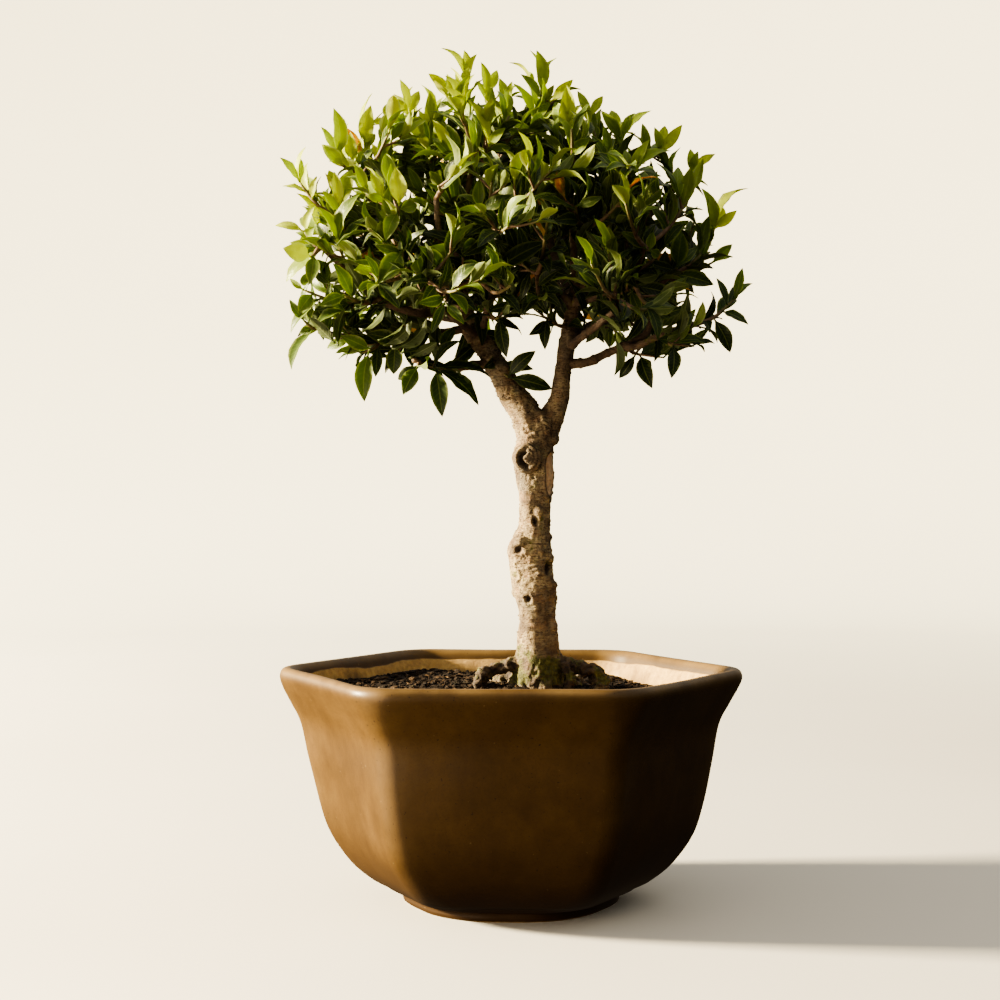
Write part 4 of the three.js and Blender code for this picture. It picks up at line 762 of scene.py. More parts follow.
# The healed eye: a raised ring with finer rings in it, round a sunken crescent; painted shade
# darkens the crescent and the grooves between the rings.
eye = round_mark(7.0, 191.4, 5.6, 6.6)
lift += 1.0 * np.exp(-((eye - 0.82) / 0.3) ** 2) - 0.5 * np.exp(-(eye / 0.5) ** 2)
eye_turn = np.arctan2(height_front - 190.8, across_front - 7.6)
eye_reach = np.hypot(across_front - 7.6, height_front - 190.8)
swirl = np.cos(2 * math.pi * eye / 0.23) * eased_step(eye, 0.15, 0.45)
lift += 0.3 * swirl * np.exp(-(eye / 1.05) ** 4)
shade_and_dark_bark += 0.5 * np.clip(-swirl, 0, 1) * np.exp(-(eye / 0.95) ** 4)
crescent = np.exp(-((eye_reach - 3.3) / 0.95) ** 4) * eased_step(
    -np.cos(eye_turn - 0.12), -0.1, 0.35) * (eye < 1.4)
lift -= 2.4 * crescent
shade_and_dark_bark += 1.6 * crescent

# The pruning wound on the right: smooth pale wood in a lip of bark, with a painted shadow line
# just inside the lip.
wound_turn = np.abs(np.degrees(round_wood) - 68)
wound = np.hypot(wound_turn / 32, (height_front - 184.5) / 10)
wound = np.where((height_front > 172) & (height_front < 198), wound, 9)
healed = 1 - eased_step(wound, 0.82, 1.0)
lift = lift * (1 - 0.9 * healed) - 0.5 * healed + 0.75 * np.exp(-((wound - 1.12) / 0.16) ** 2)
shade_and_dark_bark = shade_and_dark_bark * (1 - healed) + 0.7 * np.exp(-((wound - 0.98) / 0.07) ** 2)

# Scars of the same kinds all round the back, and a few on the limbs.
mark_draw = random.Random(4)
for _ in range(BACK_SCARS):
    z, turn = mark_draw.uniform(108, 205), mark_draw.uniform(1.9, 4.4)
    size = mark_draw.uniform(0.9, 2.2)
    kind = mark_draw.random()
    turned = (round_wood - turn + math.pi) % (2 * math.pi) - math.pi
    away = np.hypot(turned * girth / size, (bark_points[:, 2] - z) / size)
    away = np.where((bark_points[:, 2] < 208) & (girth > 5), away, 9)
    if kind < 0.45:
        # Sunken scars are filled with painted shade.
        lift -= 1.2 * np.exp(-away ** 4)
        shade_and_dark_bark += 1.2 * np.exp(-away ** 4)
        lift += 0.5 * np.exp(-((away - 1.7) / 0.5) ** 2)
    else:
        lift += 0.5 * size * np.exp(-away ** 2)

thin = eased_step(girth, 2.2, 6)
lift *= 0.45 + 0.55 * np.maximum(thin, rough_root)
bark_points = bark_points + bark_normals * lift[:, None]
moss = eased_step(MOSS_UPTO - bark_points[:, 2], 0, 19)
moss *= np.where(bark_points[:, 2] < 93.5, 0.5, 1) * (1 - 0.6 * rough_root)

# The branches: thinner tubes with knobs at the old leaf scars and a collar where they start.
branch_parts = []
branch_girths = []
for index, (name, points) in enumerate(BRANCHES.items()):
    if name in LIMB_GIRTHS:
        continue
    first, last = BRANCH_GIRTHS.get(name, COMMON_GIRTH)
    girths = np.linspace(first, last, len(points))
    line = smooth_through([(*p, g) for p, g in zip(points, girths)], 9)
    steps = np.linalg.norm(np.diff(line[:, :3], axis=0), axis=1)
    run = np.concatenate([[0], np.cumsum(steps)])
    twist = random.Random(index)
    phase = twist.uniform(0, 6)
    for i in range(len(line)):
        knuckle = math.exp(-((run[i] + phase) % 6.3 - 3.1) ** 2 / 0.5)
        line[i, 3] *= 1 + 0.22 * knuckle + 0.09 * waver(line[i, :3], 3, 7)
        line[i, 3] += 0.5 * math.exp(-run[i] / 2.6)
        line[i, 0] += 0.35 * waver(line[i, :3], 8, 41)
        line[i, 2] += 0.35 * waver(line[i, :3], 8, 43)
    branch_parts.append(tube(line[:, :3], line[:, 3], BRANCH_SIDES))
    branch_girths.append(np.repeat(line[:, 3], BRANCH_SIDES))
branch_points, branch_faces = gather(branch_parts)
wood_points, wood_faces = gather([(bark_points, bark_faces), (branch_points, branch_faces)])
extra = len(branch_points)
wood = new_piece("wood_grown", wood_points, wood_faces)
marked(wood, "girth", np.concatenate([girth, *branch_girths]))
marked(wood, "shade_and_dark_bark", np.clip(np.concatenate([shade_and_dark_bark, np.zeros(extra)]), 0, 1))
marked(wood, "moss", np.concatenate([moss, np.zeros(extra)]))
marked(wood, "wound", np.concatenate([healed, np.zeros(extra)]))

bark = finish_named("pale_ringed_bark", 0.82)
on_bark = place_on(bark)
bark_clouds = mottle(bark, on_bark, 9, 6, 0.62)
bark_colour = shades(bark, bark_clouds, [
    (0.38, (0.105, 0.068, 0.036)), (0.48, (0.220, 0.155, 0.082)),
    (0.58, (0.385, 0.288, 0.152)), (0.72, (0.680, 0.525, 0.260))])
brown_patches = eased(bark, mottle(bark, on_bark, 5.5, 4, 0.6), 0.50, 0.66)
bark_colour = dabbed(bark, brown_patches, 0.5, bark_colour, (0.300, 0.160, 0.072))
rings = eased(bark, mottle(bark, place_on(bark, (1, 1, 4.2)), 3.4, 4, 0.6), 0.5, 0.62)
bark_colour = dabbed(bark, rings, 0.72, bark_colour, (0.105, 0.066, 0.036))
warts = eased(bark, mottle(bark, place_on(bark, (1, 1, 2.0)), 1.5, 2, 0.5), 0.57, 0.66)
bark_colour = dabbed(bark, warts, 0.65, bark_colour, (0.110, 0.060, 0.028))
grey_patches = eased(bark, mottle(bark, on_bark, 15, 3), 0.5, 0.68)
bark_colour = dabbed(bark, grey_patches, 0.55, bark_colour, (0.215, 0.192, 0.145))
thin_wood = node(bark, "MapRange", {"Value": mark_of(bark, "girth"), "From Min": 5.7,
                                    "From Max": 1.8, "To Min": 0.0, "To Max": 0.9})
bark_colour = laid_over(bark, thin_wood, bark_colour, shades(bark, bark_clouds, [
    (0.35, (0.055, 0.033, 0.018)), (0.65, (0.150, 0.096, 0.055))]))
# The marks darken the bark: darker bark at the ring scars and roots, and painted shade in creases,
# hollows and holes.
bark_colour = laid_over(bark, mark_of(bark, "shade_and_dark_bark"), bark_colour, (0.030, 0.017, 0.009))
wound_wood = shades(bark, mottle(bark, place_on(bark, (1, 1, 0.35)), 3, 3), [
    (0.35, (0.74, 0.46, 0.24)), (0.65, (0.92, 0.68, 0.42))])
bark_colour = laid_over(bark, mark_of(bark, "wound"), bark_colour, wound_wood)
moss_tufts = mottle(bark, on_bark, 2.2, 5, 0.75)
moss_reach = sum_of(bark, "ADD", sum_of(bark, "MULTIPLY", moss_tufts, 0.35),
                    sum_of(bark, "MULTIPLY", mark_of(bark, "moss"), 0.35))
moss_patch = eased(bark, sum_of(bark, "ADD", mottle(bark, on_bark, 9, 4, 0.6), moss_reach),
                   0.78, 0.92)
moss_colour = shades(bark, moss_tufts, [
    (0.3, (0.026, 0.027, 0.006)), (0.55, (0.100, 0.096, 0.018)), (0.75, (0.235, 0.205, 0.045))])
bark_colour = laid_over(bark, moss_patch, bark_colour, moss_colour)
onto(bark, "Base Color", bark_colour)
relief(bark, [(mottle(bark, on_bark, 1.3, 5, 0.7), 0.4), (warts, 0.3),
              (mottle(bark, place_on(bark, (1, 1, 3.5)), 2.6, 4, 0.65), 0.55)])
wood.data.materials.append(bark)
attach(wood, "root")
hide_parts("wood")

# ---- sprays of shoots and leaves ---------------------------------------------------------------
# Each branch ends in forked green-brown shoots that carry glossy, leathery, narrow-elliptic
# leaves on short stalks, the youngest at the tip. They grow out of the branch, spiral round
# their shoot and turn their upper faces to the light; their colour has painted sunlight in it,
# yellow-green where the sun reaches them.

# Each spray: its branch, where it leaves the branch, and its shoots. Each shoot: where it ends,
# then its front leaves: where on the shoot the leaf starts, X, Y, Z of its point, and how wide
# it looks from the front.
SPRAYS = [
    ("left_far", 1, [
        ((-90, -15, 309), [(1, -98, -19, 319, 3.2), (1, -91, -13, 321, 2.7),
            (1, -87, -17, 324, 2.7), (0.7, -98, -12, 308, 2.3), (0.55, -82, -19, 311, 3.2)]),
    ]),
    ("left_far", 0.8, [
        ((-72, -21, 297), [(1, -74, -24, 312, 5), (0.95, -67, -18, 314, 7.3),
            (0.8, -79, -24, 304, 4.1)]),
        ((-82, -7, 287), [(1, -92, -12, 305, 4.6), (0.9, -91, -2, 301, 3.2)]),
    ]),
    ("left_long", 1, [
        ((-87, -21, 287), [(1, -100, -19, 290, 3.7), (0.9, -82, -26, 297, 3.7),
            (0.75, -82, -28, 288, 5)]),
        ((-84, -23, 276), [(1, -95, -29, 279, 8.2), (0.7, -84, -26, 264, 6.4)]),
    ]),
    ("left_long", 0.72, [
        ((-72, -27, 281), [(1, -80, -31, 296, 3.7), (1, -71, -24, 298, 5),
            (0.95, -62, -32, 301, 5.5), (0.9, -59, -22, 293, 4.1)]),
    ]),
    ("left_long", 0.45, [
        ((-87, -23, 262), [(1, -93, -22, 267, 2.7), (0.9, -89, -26, 252, 6.4),
            (0.7, -75, -28, 264, 3.2), (0.8, -93, -21, 244, 4.6)]),
        ((-69, -29, 259), [(1, -79, -35, 254, 5.5), (0.8, -66, -25, 265, 4.1)]),
    ]),
    ("left_under", 1, [
        ((-87, -21, 249), [(1, -93, -24, 258, 3.7), (0.6, -90, -17, 244, 3.7),
            (0.45, -92, -25, 228, 5.5), (0.8, -81, -26, 256, 3.2)]),
    ]),
    ("left_under", 0.55, [
        ((-60, -16, 237), [(1, -62, -17, 215, 7.8), (0.5, -58, -10, 226, 5),
            (0.9, -72, -21, 243, 5.9)]),
        ((-69, -7, 242), [(1, -80, -3, 239, 4.6)]),
    ]),
    ("left_under", 0.35, [
        ((-49, -13, 240), [(1, -50, -12, 227, 7.3), (0.8, -61, -19, 244, 6.9),
            (0.5, -42, -10, 230, 5.9)]),
    ]),
    ("left_low", 1, [
        ((-38, -29, 229), [(1, -44, -33, 217, 6.9), (0.6, -47, -24, 224, 5.5)]),
        ((-31, -23, 229), [(1, -28, -27, 208, 7.8), (0.9, -13, -21, 213, 5.9),
            (0.8, -8, -17, 225, 4.6), (0.9, -20, -27, 240, 4.1)]),
    ]),
    ("left_upper", 1, [
        ((-74, -17, 318), [(1, -75, -19, 340, 5.9), (1, -81, -14, 333, 3.2),
            (0.8, -79, -21, 324, 5.9), (0.9, -69, -13, 335, 3.2)]),
        ((-68, -5, 319), [(1, -69, -8, 332, 5.5), (0.8, -64, -1, 325, 4.1)]),
    ]),
    ("left_upper", 0.6, [
        ((-63, 2, 326), [(1, -61, -1, 345, 6.9), (1, -61, 6, 352, 3.2), (0.8, -56, 7, 344, 4.1)]),
        ((-54, -18, 313), [(1, -54, -22, 328, 4.6), (0.9, -49, -15, 328, 4.1)]),
    ]),
    ("left_mid", 1, [
        ((-44, -50, 293), [(1, -45, -55, 308, 7.3), (1, -41, -52, 302, 2.7),
            (0.9, -37, -45, 294, 5.9), (0.8, -49, -55, 278, 6.4)]),
        ((-51, -42, 298), [(1, -56, -46, 308, 4.1), (0.9, -58, -45, 298, 4.1)]),
    ]),
    ("left_mid", 0.55, [
        ((-43, -48, 275), [(1, -52, -54, 261, 9.1), (0.9, -54, -51, 277, 4.6),
            (0.6, -33, -53, 283, 5)]),
    ]),
    ("left_top", 1, [
        ((-44, -4, 341), [(1, -48, -6, 355, 3.7), (0.95, -40, -1, 351, 4.6),
            (0.9, -51, -7, 347, 3.7)]),
        ((-54, 2, 338), [(1, -54, 5, 347, 4.1), (0.8, -59, -1, 339, 3.7)]),
    ]),
    ("left_top", 0.7, [
        ((-35, 7, 339), [(1, -36, 4, 352, 4.1), (1, -40, 9, 356, 3.2), (0.9, -30, 11, 351, 3.7)]),
    ]),
    ("left_crown", 1, [
        ((-24, 5, 348), [(1, -28, 2, 359, 4.6), (0.95, -25, 9, 362, 3.7)]),
        ((-20, 7, 356), [(1, -31, 5, 371, 3.2), (1, -21, 9, 371, 4.1), (1, -15, 4, 368, 3.7),
            (0.9, -17, 12, 366, 3.7)]),
    ]),
    ("mid_top", 1, [
        ((-12, 22, 354), [(1, -14, 18, 368, 4.1), (1, -7, 25, 366, 4.6),
            (0.8, -10, 18, 358, 3.7)]),
        ((-3, 20, 348), [(1, 0, 17, 359, 3.7), (0.9, -6, 23, 362, 4.6), (0.9, 2, 24, 359, 3.2)]),
    ]),
    ("left_leader", 1, [
        ((-8, -34, 320), [(1, -17, -38, 339, 4.6), (1, -1, -38, 327, 4.1),
            (0.9, 1, -31, 320, 3.7), (0.7, -1, -40, 309, 5.9)]),
        ((-19, -31, 317), [(1, -26, -34, 324, 3.7)]),
    ]),
    ("left_leader", 0.5, [
        ((-23, -35, 295), [(1, -34, -40, 304, 3.2), (0.9, -30, -31, 315, 5.5),
            (0.8, -32, -39, 297, 5.5)]),
    ]),
    ("left_front_stem", 1, [
        ((-11, -52, 291), [(1, -20, -50, 297, 2.7), (1, -11, -56, 303, 5),
            (0.95, 2, -56, 296, 5.5), (0.9, 9, -49, 297, 4.1)]),
    ]),
    ("left_front_stem", 0.55, [
        ((-7, -38, 267), [(1, 17, -43, 279, 7.8), (0.6, -25, -43, 273, 5.5),
            (0.4, -36, -47, 283, 6.4)]),
    ]),
    ("left_front_stem", 0.25, [
        ((-4, -22, 250), [(1, -1, -25, 233, 6.4), (0.9, -5, -18, 242, 3.7)]),
    ]),
    ("right_top", 1, [
        ((13, 9, 351), [(1, 8, 10, 371, 2.7), (1, 11, 6, 370, 5.9), (1, 20, 12, 368, 3.7),
            (0.8, 4, 4, 359, 4.1)]),
        ((17, 5, 347), [(1, 27, 2, 356, 5)]),
    ]),
    ("right_top", 0.8, [
        ((10, -6, 338), [(1, 17, -9, 343, 4.6), (0.9, 1, -9, 352, 4.1), (0.7, -4, -10, 334, 4.1)]),
    ]),
    ("right_leader", 1, [
        ((26, -37, 315), [(1, 19, -40, 332, 4.1), (1, 34, -41, 322, 5), (0.8, 19, -39, 318, 3.7)]),
        ((25, -15, 332), [(1, 24, -18, 349, 5.9), (0.95, 22, -20, 342, 4.6),
            (0.9, 31, -12, 342, 3.7)]),
    ]),
    ("right_leader", 0.55, [
        ((28, -41, 294), [(1, 39, -45, 297, 4.1), (0.9, 9, -45, 297, 3.7),
            (0.6, 18, -46, 287, 5.9)]),
    ]),
    ("right_up", 1, [
        ((51, -18, 310), [(1, 42, -20, 321, 3.7), (1, 49, -15, 322, 4.1), (1, 59, -21, 325, 4.6),
            (0.9, 68, -22, 320, 5)]),
    ]),
    ("right_up", 0.75, [
        ((41, -8, 320), [(1, 40, -11, 333, 4.1), (0.9, 45, -5, 329, 3.7),
            (0.8, 34, -13, 329, 4.1)]),
        ((48, 4, 330), [(1, 39, 0, 342, 5), (1, 54, 6, 342, 4.6), (1, 61, 1, 342, 3.7)]),
    ]),
    ("right_high", 1, [
        ((65, 0, 323), [(1, 62, -3, 334, 4.1), (1, 67, 4, 336, 4.6), (1, 74, -3, 335, 5)]),
        ((78, 3, 315), [(1, 78, 5, 326, 4.1), (1, 81, 0, 324, 4.1), (0.95, 89, 6, 324, 4.1),
            (0.7, 68, -1, 310, 5.5)]),
    ]),
    ("right_high", 0.65, [
        ((34, 5, 340), [(1, 40, 8, 350, 4.1), (0.95, 31, 2, 345, 3.7), (0.8, 37, 9, 337, 4.1)]),
    ]),
    ("right_out", 1, [
        ((90, 25, 294), [(1, 100, 23, 302, 4.6), (0.95, 94, 29, 305, 5), (0.9, 87, 21, 310, 4.6),
            (1, 106, 30, 313, 3.7), (0.8, 84, 22, 312, 5.9)]),
    ]),
    ("right_out", 0.75, [
        ((89, 25, 279), [(1, 98, 23, 287, 5), (1, 99, 29, 282, 2.7), (0.8, 91, 30, 291, 3.7)]),
        ((81, 21, 297), [(1, 78, 24, 303, 3.2), (0.9, 87, 17, 293, 4.6)]),
    ]),
    ("right_low", 1, [
        ((71, -13, 272), [(1, 73, -16, 287, 7.8), (1, 80, -9, 281, 4.1), (0.9, 57, -19, 274, 5),
            (0.7, 87, -10, 265, 6.9)]),
    ]),
    ("right_low", 0.45, [
        ((56, -1, 236), [(1, 61, -6, 221, 6.9), (0.75, 47, 2, 226, 4.6)]),
    ]),
    ("right_low_outer", 1, [
        ((96, -10, 259), [(1, 99, -12, 272, 4.1), (0.95, 104, -6, 266, 3.2),
            (0.8, 88, -10, 268, 3.6), (0.65, 101, -18, 247, 4.1), (0.45, 94, -10, 236, 6.4),
            (0.25, 84, -26, 243, 4.1)]),
    ]),
    ("right_low_outer", 0.6, [
        ((69, -22, 238), [(1, 68, -26, 224, 5.9), (0.8, 83, -22, 239, 4.1),
            (0.5, 62, -32, 240, 4.6)]),
    ]),
    ("right_mid", 1, [
        ((58, -46, 275), [(1, 59, -49, 282, 4.1), (1, 62, -43, 273, 4.1), (0.8, 46, -50, 282, 5),
            (0.6, 43, -51, 266, 2.7)]),
    ]),
    ("right_mid", 0.8, [
        ((67, -33, 281), [(1, 58, -37, 295, 4.6), (0.8, 73, -30, 288, 4.6)]),
    ]),
    ("right_mid", 0.5, [
        ((51, -30, 261), [(1, 56, -33, 248, 4.6), (0.7, 52, -24, 248, 4.6)]),
    ]),
    ("right_inner", 1, [
        ((5, -30, 273), [(1, -4, -34, 280, 4.1), (0.8, 16, -33, 272, 5.9),
            (0.7, 5, -27, 257, 4.1)]),
    ]),
    ("limb_left", 0.52, [
        ((-1, -8, 226), [(1, 11, -11, 237, 6.4), (1, 18, -4, 221, 6.9)]),
    ]),
    ("limb_right", 0.72, [
        ((16, -13, 251), [(1, 15, -15, 237, 5), (0.8, 8, -18, 243, 5)]),
    ]),
]
# Branches out of sight, whose sprays are filled by the rule below.
FILLED_ENDS = ["left_front", "left_front_high", "left_back_low", "left_back_mid",
               "left_back_high", "middle_back", "right_front", "right_back_low",
               "right_back_mid", "right_back_high"]
CROWN_MIDDLE = np.array([2.0, 0.0, 262.0])
CROWN_ACROSS, CROWN_UP, LOWEST_RISE = 88, 90, -0.16
# Shoots tried, share of the crown's size, first seed, and least distance from the others.
LAYERS = [(53, 1.0, 301, 19), (10, 0.62, 401, 19), (40, 0.82, 501, 14), (24, 0.6, 601, 14)]
REACH, SLENDER = 58, 0.32  # farthest that a shoot grows, and a leaf's least width for its length
FORK_AT, SHOOT_SAG = 0.32, 0.1  # parts of the way from the spray's root to its shoots' ends
LEAF_ROOM, LEAF_STEP = 4.0, 3.4  # between the middles of leaves, and along a shoot

# The least size, and how much a draw between 0 and 1 adds to it.
LENGTHS, WIDTHS, TWIGLETS = (12.5, 6.5), (0.29, 0.09), (7, 6)
FOLDS, ARCHES, CURLS = (0.10, 0.34), (0.05, 0.10), (0.02, 0.12)
GOLDEN = math.pi * (3 - math.sqrt(5))

# Left and right edge of the crown at each height.
CROWN_EDGE = [(224, -40, 40), (232, -78, 78), (240, -94, 94), (262, -99, 101), (282, -98, 98),
              (307, -93, 96), (320, -91, 86), (333, -76, 68), (346, -60, 46), (358, -42, 28),
              (368, -26, 14)]


def draws_of(seed):
    """Seeded draws between 0 and 1: each seed gives its own stream."""
    state = (seed * 2654435761) % 4294967296

    def draw():
        nonlocal state
        state = (state * 1664525 + 1013904223) % 4294967296
        return state / 4294967296

    draw()
    draw()
    return draw


def drawn(least_and_more, draw):
    """A size drawn at random from one of the ranges above."""
    least, more = least_and_more
    return least + more * draw()


def part_way(points, fraction):
    """The point at a fraction of a line's length."""
    steps = np.linalg.norm(np.diff(points, axis=0), axis=1)
    left = fraction * steps.sum()
    for i, step in enumerate(steps):
        if left <= step or i == len(steps) - 1:
            return points[i] + (points[i + 1] - points[i]) * min(left / step, 1)
        left -= step


sprays = [{"root": part_way(np.array(BRANCHES[branch], float), at),
           "shoots": [{"end": np.array(end, float), "seen": seen} for end, seen in shoots]}
          for branch, at, shoots in SPRAYS]
for branch in FILLED_ENDS:
    sprays.append({"root": np.array(BRANCHES[branch][-1], float), "shoots": []})

ends = [shoot["end"] for spray in sprays for shoot in spray["shoots"]]
for count, share, first_seed, apart in LAYERS:
    for i in range(count):
        draw = draws_of(first_seed + i)
        rise = 1 - (i + 0.5) / count * (1 - LOWEST_RISE)
        flat = math.sqrt(1 - rise * rise)
        size = share * (0.94 + 0.1 * draw())
        end = CROWN_MIDDLE + size * np.array([
            CROWN_ACROSS * flat * math.cos(i * GOLDEN),
            CROWN_ACROSS * flat * math.sin(i * GOLDEN), CROWN_UP * rise])
        if min(np.linalg.norm(other - end) for other in ends) < apart:
            continue

        def cost(spray):
            way = end - spray["root"]
            reach = np.linalg.norm(way)
            outward = unit(spray["root"] - CROWN_MIDDLE)
            return reach * (1.35 - 0.35 * (way / reach) @ outward) + 4 * len(spray["shoots"])

        spray = min(sprays, key=cost)
        if np.linalg.norm(spray["root"] - end) <= REACH:
            ends.append(end)
            spray["shoots"].append({"end": end, "seen": None})

# One leaf's outline: part of its length, half width, and thickness in millimetres.
LEAF_STATIONS = [
    (0.0, 0.0, 0.85), (0.06, 0.0, 0.75), (0.11, 0.04, 0.62), (0.17, 0.34, 0.42),
    (0.26, 0.68, 0.34), (0.37, 0.92, 0.30), (0.49, 1.0, 0.28), (0.62, 0.94, 0.26),
    (0.75, 0.74, 0.25), (0.87, 0.43, 0.23), (0.95, 0.18, 0.20)]
STALK_HALF = 0.42
LEAF_RING = [(-1.0, 0), (-0.5, 0), (0.0, 0), (0.5, 0), (1.0, 0), (0.5, 1), (0.0, 1), (-0.5, 1)]
POINTS_PER_LEAF = len(LEAF_STATIONS) * 8 + 1


def leaf_points(root, tip, up, width, draw):
    """The points of one leaf: folded a little along its rib, arched, and wavy at its edge."""
    line = tip - root
    length = np.linalg.norm(line)
    ahead = line / length
    face = unit(up - ahead * (up @ ahead))
    side = np.cross(ahead, face)
    fold = drawn(FOLDS, draw)
    arch = drawn(ARCHES, draw) * length
    curl = drawn(CURLS, draw) * length
    sway = 0.10 * (draw() - 0.5) * length
    twist = 0.5 * (draw() - 0.5)
    wave, phase = 0.10 * width * draw(), 6.3 * draw()
    points = []
    for t, half, thick in LEAF_STATIONS + [(1.0, 0.0, 0.0)]:
        middle = root + ahead * t * length + side * sway * math.sin(math.pi * t)
        middle = middle + face * (arch * 4 * t * (1 - t) - curl * max(0.0, t - 0.55) ** 2 * 4)
        if t == 1.0:
            points.append(middle + face * curl * 0.81)
            break
        middle = middle + face * curl * t * 0.81
        turn = twist * (t - 0.3)
        out = side * math.cos(turn) + face * math.sin(turn)
        rise = face * math.cos(turn) - side * math.sin(turn)
        reach = max(STALK_HALF, half * width / 2)
        stalk = t < 0.15
        for s, below in LEAF_RING:
            lifted = 0.0 if stalk else fold * abs(s) * reach
            lifted += wave * abs(s) * half * math.sin(phase + 15 * t + 2 * s)
            body = thick * (1 - s * s) * (0.75 if stalk else 0.5 if s else 1.0)
            lifted -= body if below else (-body if stalk else 0.0)
            points.append(middle + out * s * reach + rise * lifted)
    return points


leaf_faces, leaf_under, leaf_edges = [], [], []
for level in range(len(LEAF_STATIONS) - 1):
    for i in range(8):
        j = (i + 1) % 8
        low, high = level * 8, level * 8 + 8
        leaf_faces.append((low + i, low + j, high + j, high + i))
        leaf_under.append(i >= 4)
last = (len(LEAF_STATIONS) - 1) * 8
for i in range(8):
    leaf_faces.append((last + i, last + (i + 1) % 8, last + 8))
    leaf_under.append(i >= 4)
leaf_faces.append((7, 6, 5, 4, 3, 2, 1, 0))
leaf_under.append(False)
for level in range(2, len(LEAF_STATIONS) - 1):
    leaf_edges += [(level * 8, level * 8 + 8), (level * 8 + 4, level * 8 + 12)]
leaf_edges += [(last, last + 8), (last + 4, last + 8)]
leaf_across = [s for _ in LEAF_STATIONS for s, _ in LEAF_RING] + [0.0]
leaf_along = [t for t, _, _ in LEAF_STATIONS for _ in range(8)] + [1.0]

FRONT = np.array([0.0, -1.0, 0.0])
SKYWARD = np.array([0.0, 0.0, 1.0])
SUNWARD = unit(np.array([-0.20, -0.06, 1.0]))
set_leaves = []  # root and tip of the leaves read off the front, which stay in view
all_leaves = []  # middle of every leaf so far


def spun(vector, axis, angle):
    """The vector turned about an axis of length 1."""
    return (vector * math.cos(angle) + np.cross(axis, vector) * math.sin(angle)
            + axis * (axis @ vector) * (1 - math.cos(angle)))


def inside_crown(point, share):
    """Whether a point lies within this share of the crown's width at its height."""
    heights_of, lefts, rights = zip(*CROWN_EDGE)
    if not heights_of[0] < point[2] < heights_of[-1] - 1:
        return False
    left = np.interp(point[2], heights_of, lefts)
    right = np.interp(point[2], heights_of, rights)
    half = (right - left) / 2 * share
    return math.hypot((point[0] - (left + right) / 2) / half, point[1] / (0.98 * half)) < 1


def hides_set_leaf(middle):
    """Whether a leaf here would cover one of those read off the front."""
    for root, tip in set_leaves:
        for share in (0.35, 0.7):
            at = root + (tip - root) * share
            if middle[1] < at[1] + 1 and math.hypot(middle[0] - at[0], middle[2] - at[2]) < 5.5:
                return True
    return False


def crowded(middle):
    """Whether another leaf's middle is closer than the room that a leaf needs."""
    if not all_leaves:
        return False
    return np.min(np.linalg.norm(np.array(all_leaves) - middle, axis=1)) < LEAF_ROOM


def youth_and_sunlight_of(middle, back, draw):
    """How young a leaf is, with painted sunlight: yellow-green most at the sunny outside, less
    further back.
    """
    out = middle - CROWN_MIDDLE
    reach = np.linalg.norm(out)
    sunny = 0.5 + 0.5 * (out / reach) @ SUNWARD
    return max(0.0, min(1.0, (reach / 92) ** 2 * (0.06 + 0.98 * sunny) - 0.16 * back
                        + 0.34 * (draw() - 0.5)))


def grow_leaf(piece, root, tip, up, width, back, draw, yellow_share=0.012):
    """Adds one leaf to a spray, with its age and painted sunlight, its shade of green and how far
    it has yellowed.
    """
    middle = (root + tip) / 2
    all_leaves.append(middle)
    youth_and_sunlight = youth_and_sunlight_of(tip, back, draw)
    yellowed = 0.65 + 0.35 * draw() if draw() < yellow_share else 0.0
    piece["leaves"].append(leaf_points(root, tip, up, width, draw))
    piece["youth_and_sunlight"] += [youth_and_sunlight] * POINTS_PER_LEAF
    piece["tone"] += [draw()] * POINTS_PER_LEAF
    piece["yellowed"] += [yellowed] * POINTS_PER_LEAF


def spiral_leaves(piece, line, count, from_end, step, draw, smaller=1.0):
    """Leaves that spiral back along a shoot, spread wider the lower they stand.

    Gives the place along the shoot of the one nearest its end, 0 if there is no room for any.
    """
    phase = 6.283 * draw()
    outermost = 0.0
    for k in range(count):
        at = from_end - step * k
        root = part_way(line, at)
        ahead = unit(part_way(line, min(at + 0.06, 1)) - part_way(line, at - 0.06))
        across = unit(np.cross(ODD_WAY, ahead))
        other = np.cross(ahead, across)
        for attempt in range(7):
            turn = phase + k * GOLDEN + 0.9 * attempt
            tilt = 0.42 + 0.14 * min(k, 4) + 0.25 * (draw() - 0.5)
            length = drawn(LENGTHS, draw) * smaller
            way = (ahead * math.cos(tilt) + across * math.sin(tilt) * math.cos(turn)
                   + other * math.sin(tilt) * math.sin(turn))
            out = unit(root - CROWN_MIDDLE)
            way = unit(way + 0.30 * SKYWARD + 0.12 * out)
            tip = root + way * length
            middle = root + way * 0.6 * length
            if not inside_crown(tip, 0.985) or hides_set_leaf(middle) or crowded(middle):
                continue
            up = unit(ahead + 0.55 * SKYWARD + 0.25 * SUNWARD)
            if abs(up @ way) > 0.94:
                up = across
            width = length * drawn(WIDTHS, draw)
            grow_leaf(piece, root, tip, up, width, k * 0.55, draw)
            outermost = max(outermost, at)
            break
    return outermost


def grow_twig(piece, smooth, first, last, upto, sides=7):
    """The wood of a shoot, from its root to a part of its length."""
    whole = np.linalg.norm(np.diff(smooth, axis=0), axis=1).sum()
    while len(smooth) > 3 and np.linalg.norm(
            np.diff(smooth[:-1], axis=0), axis=1).sum() > upto * whole:
        smooth = smooth[:-1]
    girths = np.linspace(first, last, len(smooth))
    for i, point in enumerate(smooth):
        girths[i] *= 1 + 0.16 * waver(point, 2.6, 5)
    points, faces = tube(smooth, girths, sides)
    piece["twigs"].append((points, faces))
    piece["twig_youth"] += list(np.repeat(np.linspace(0, 1, len(smooth)), sides))


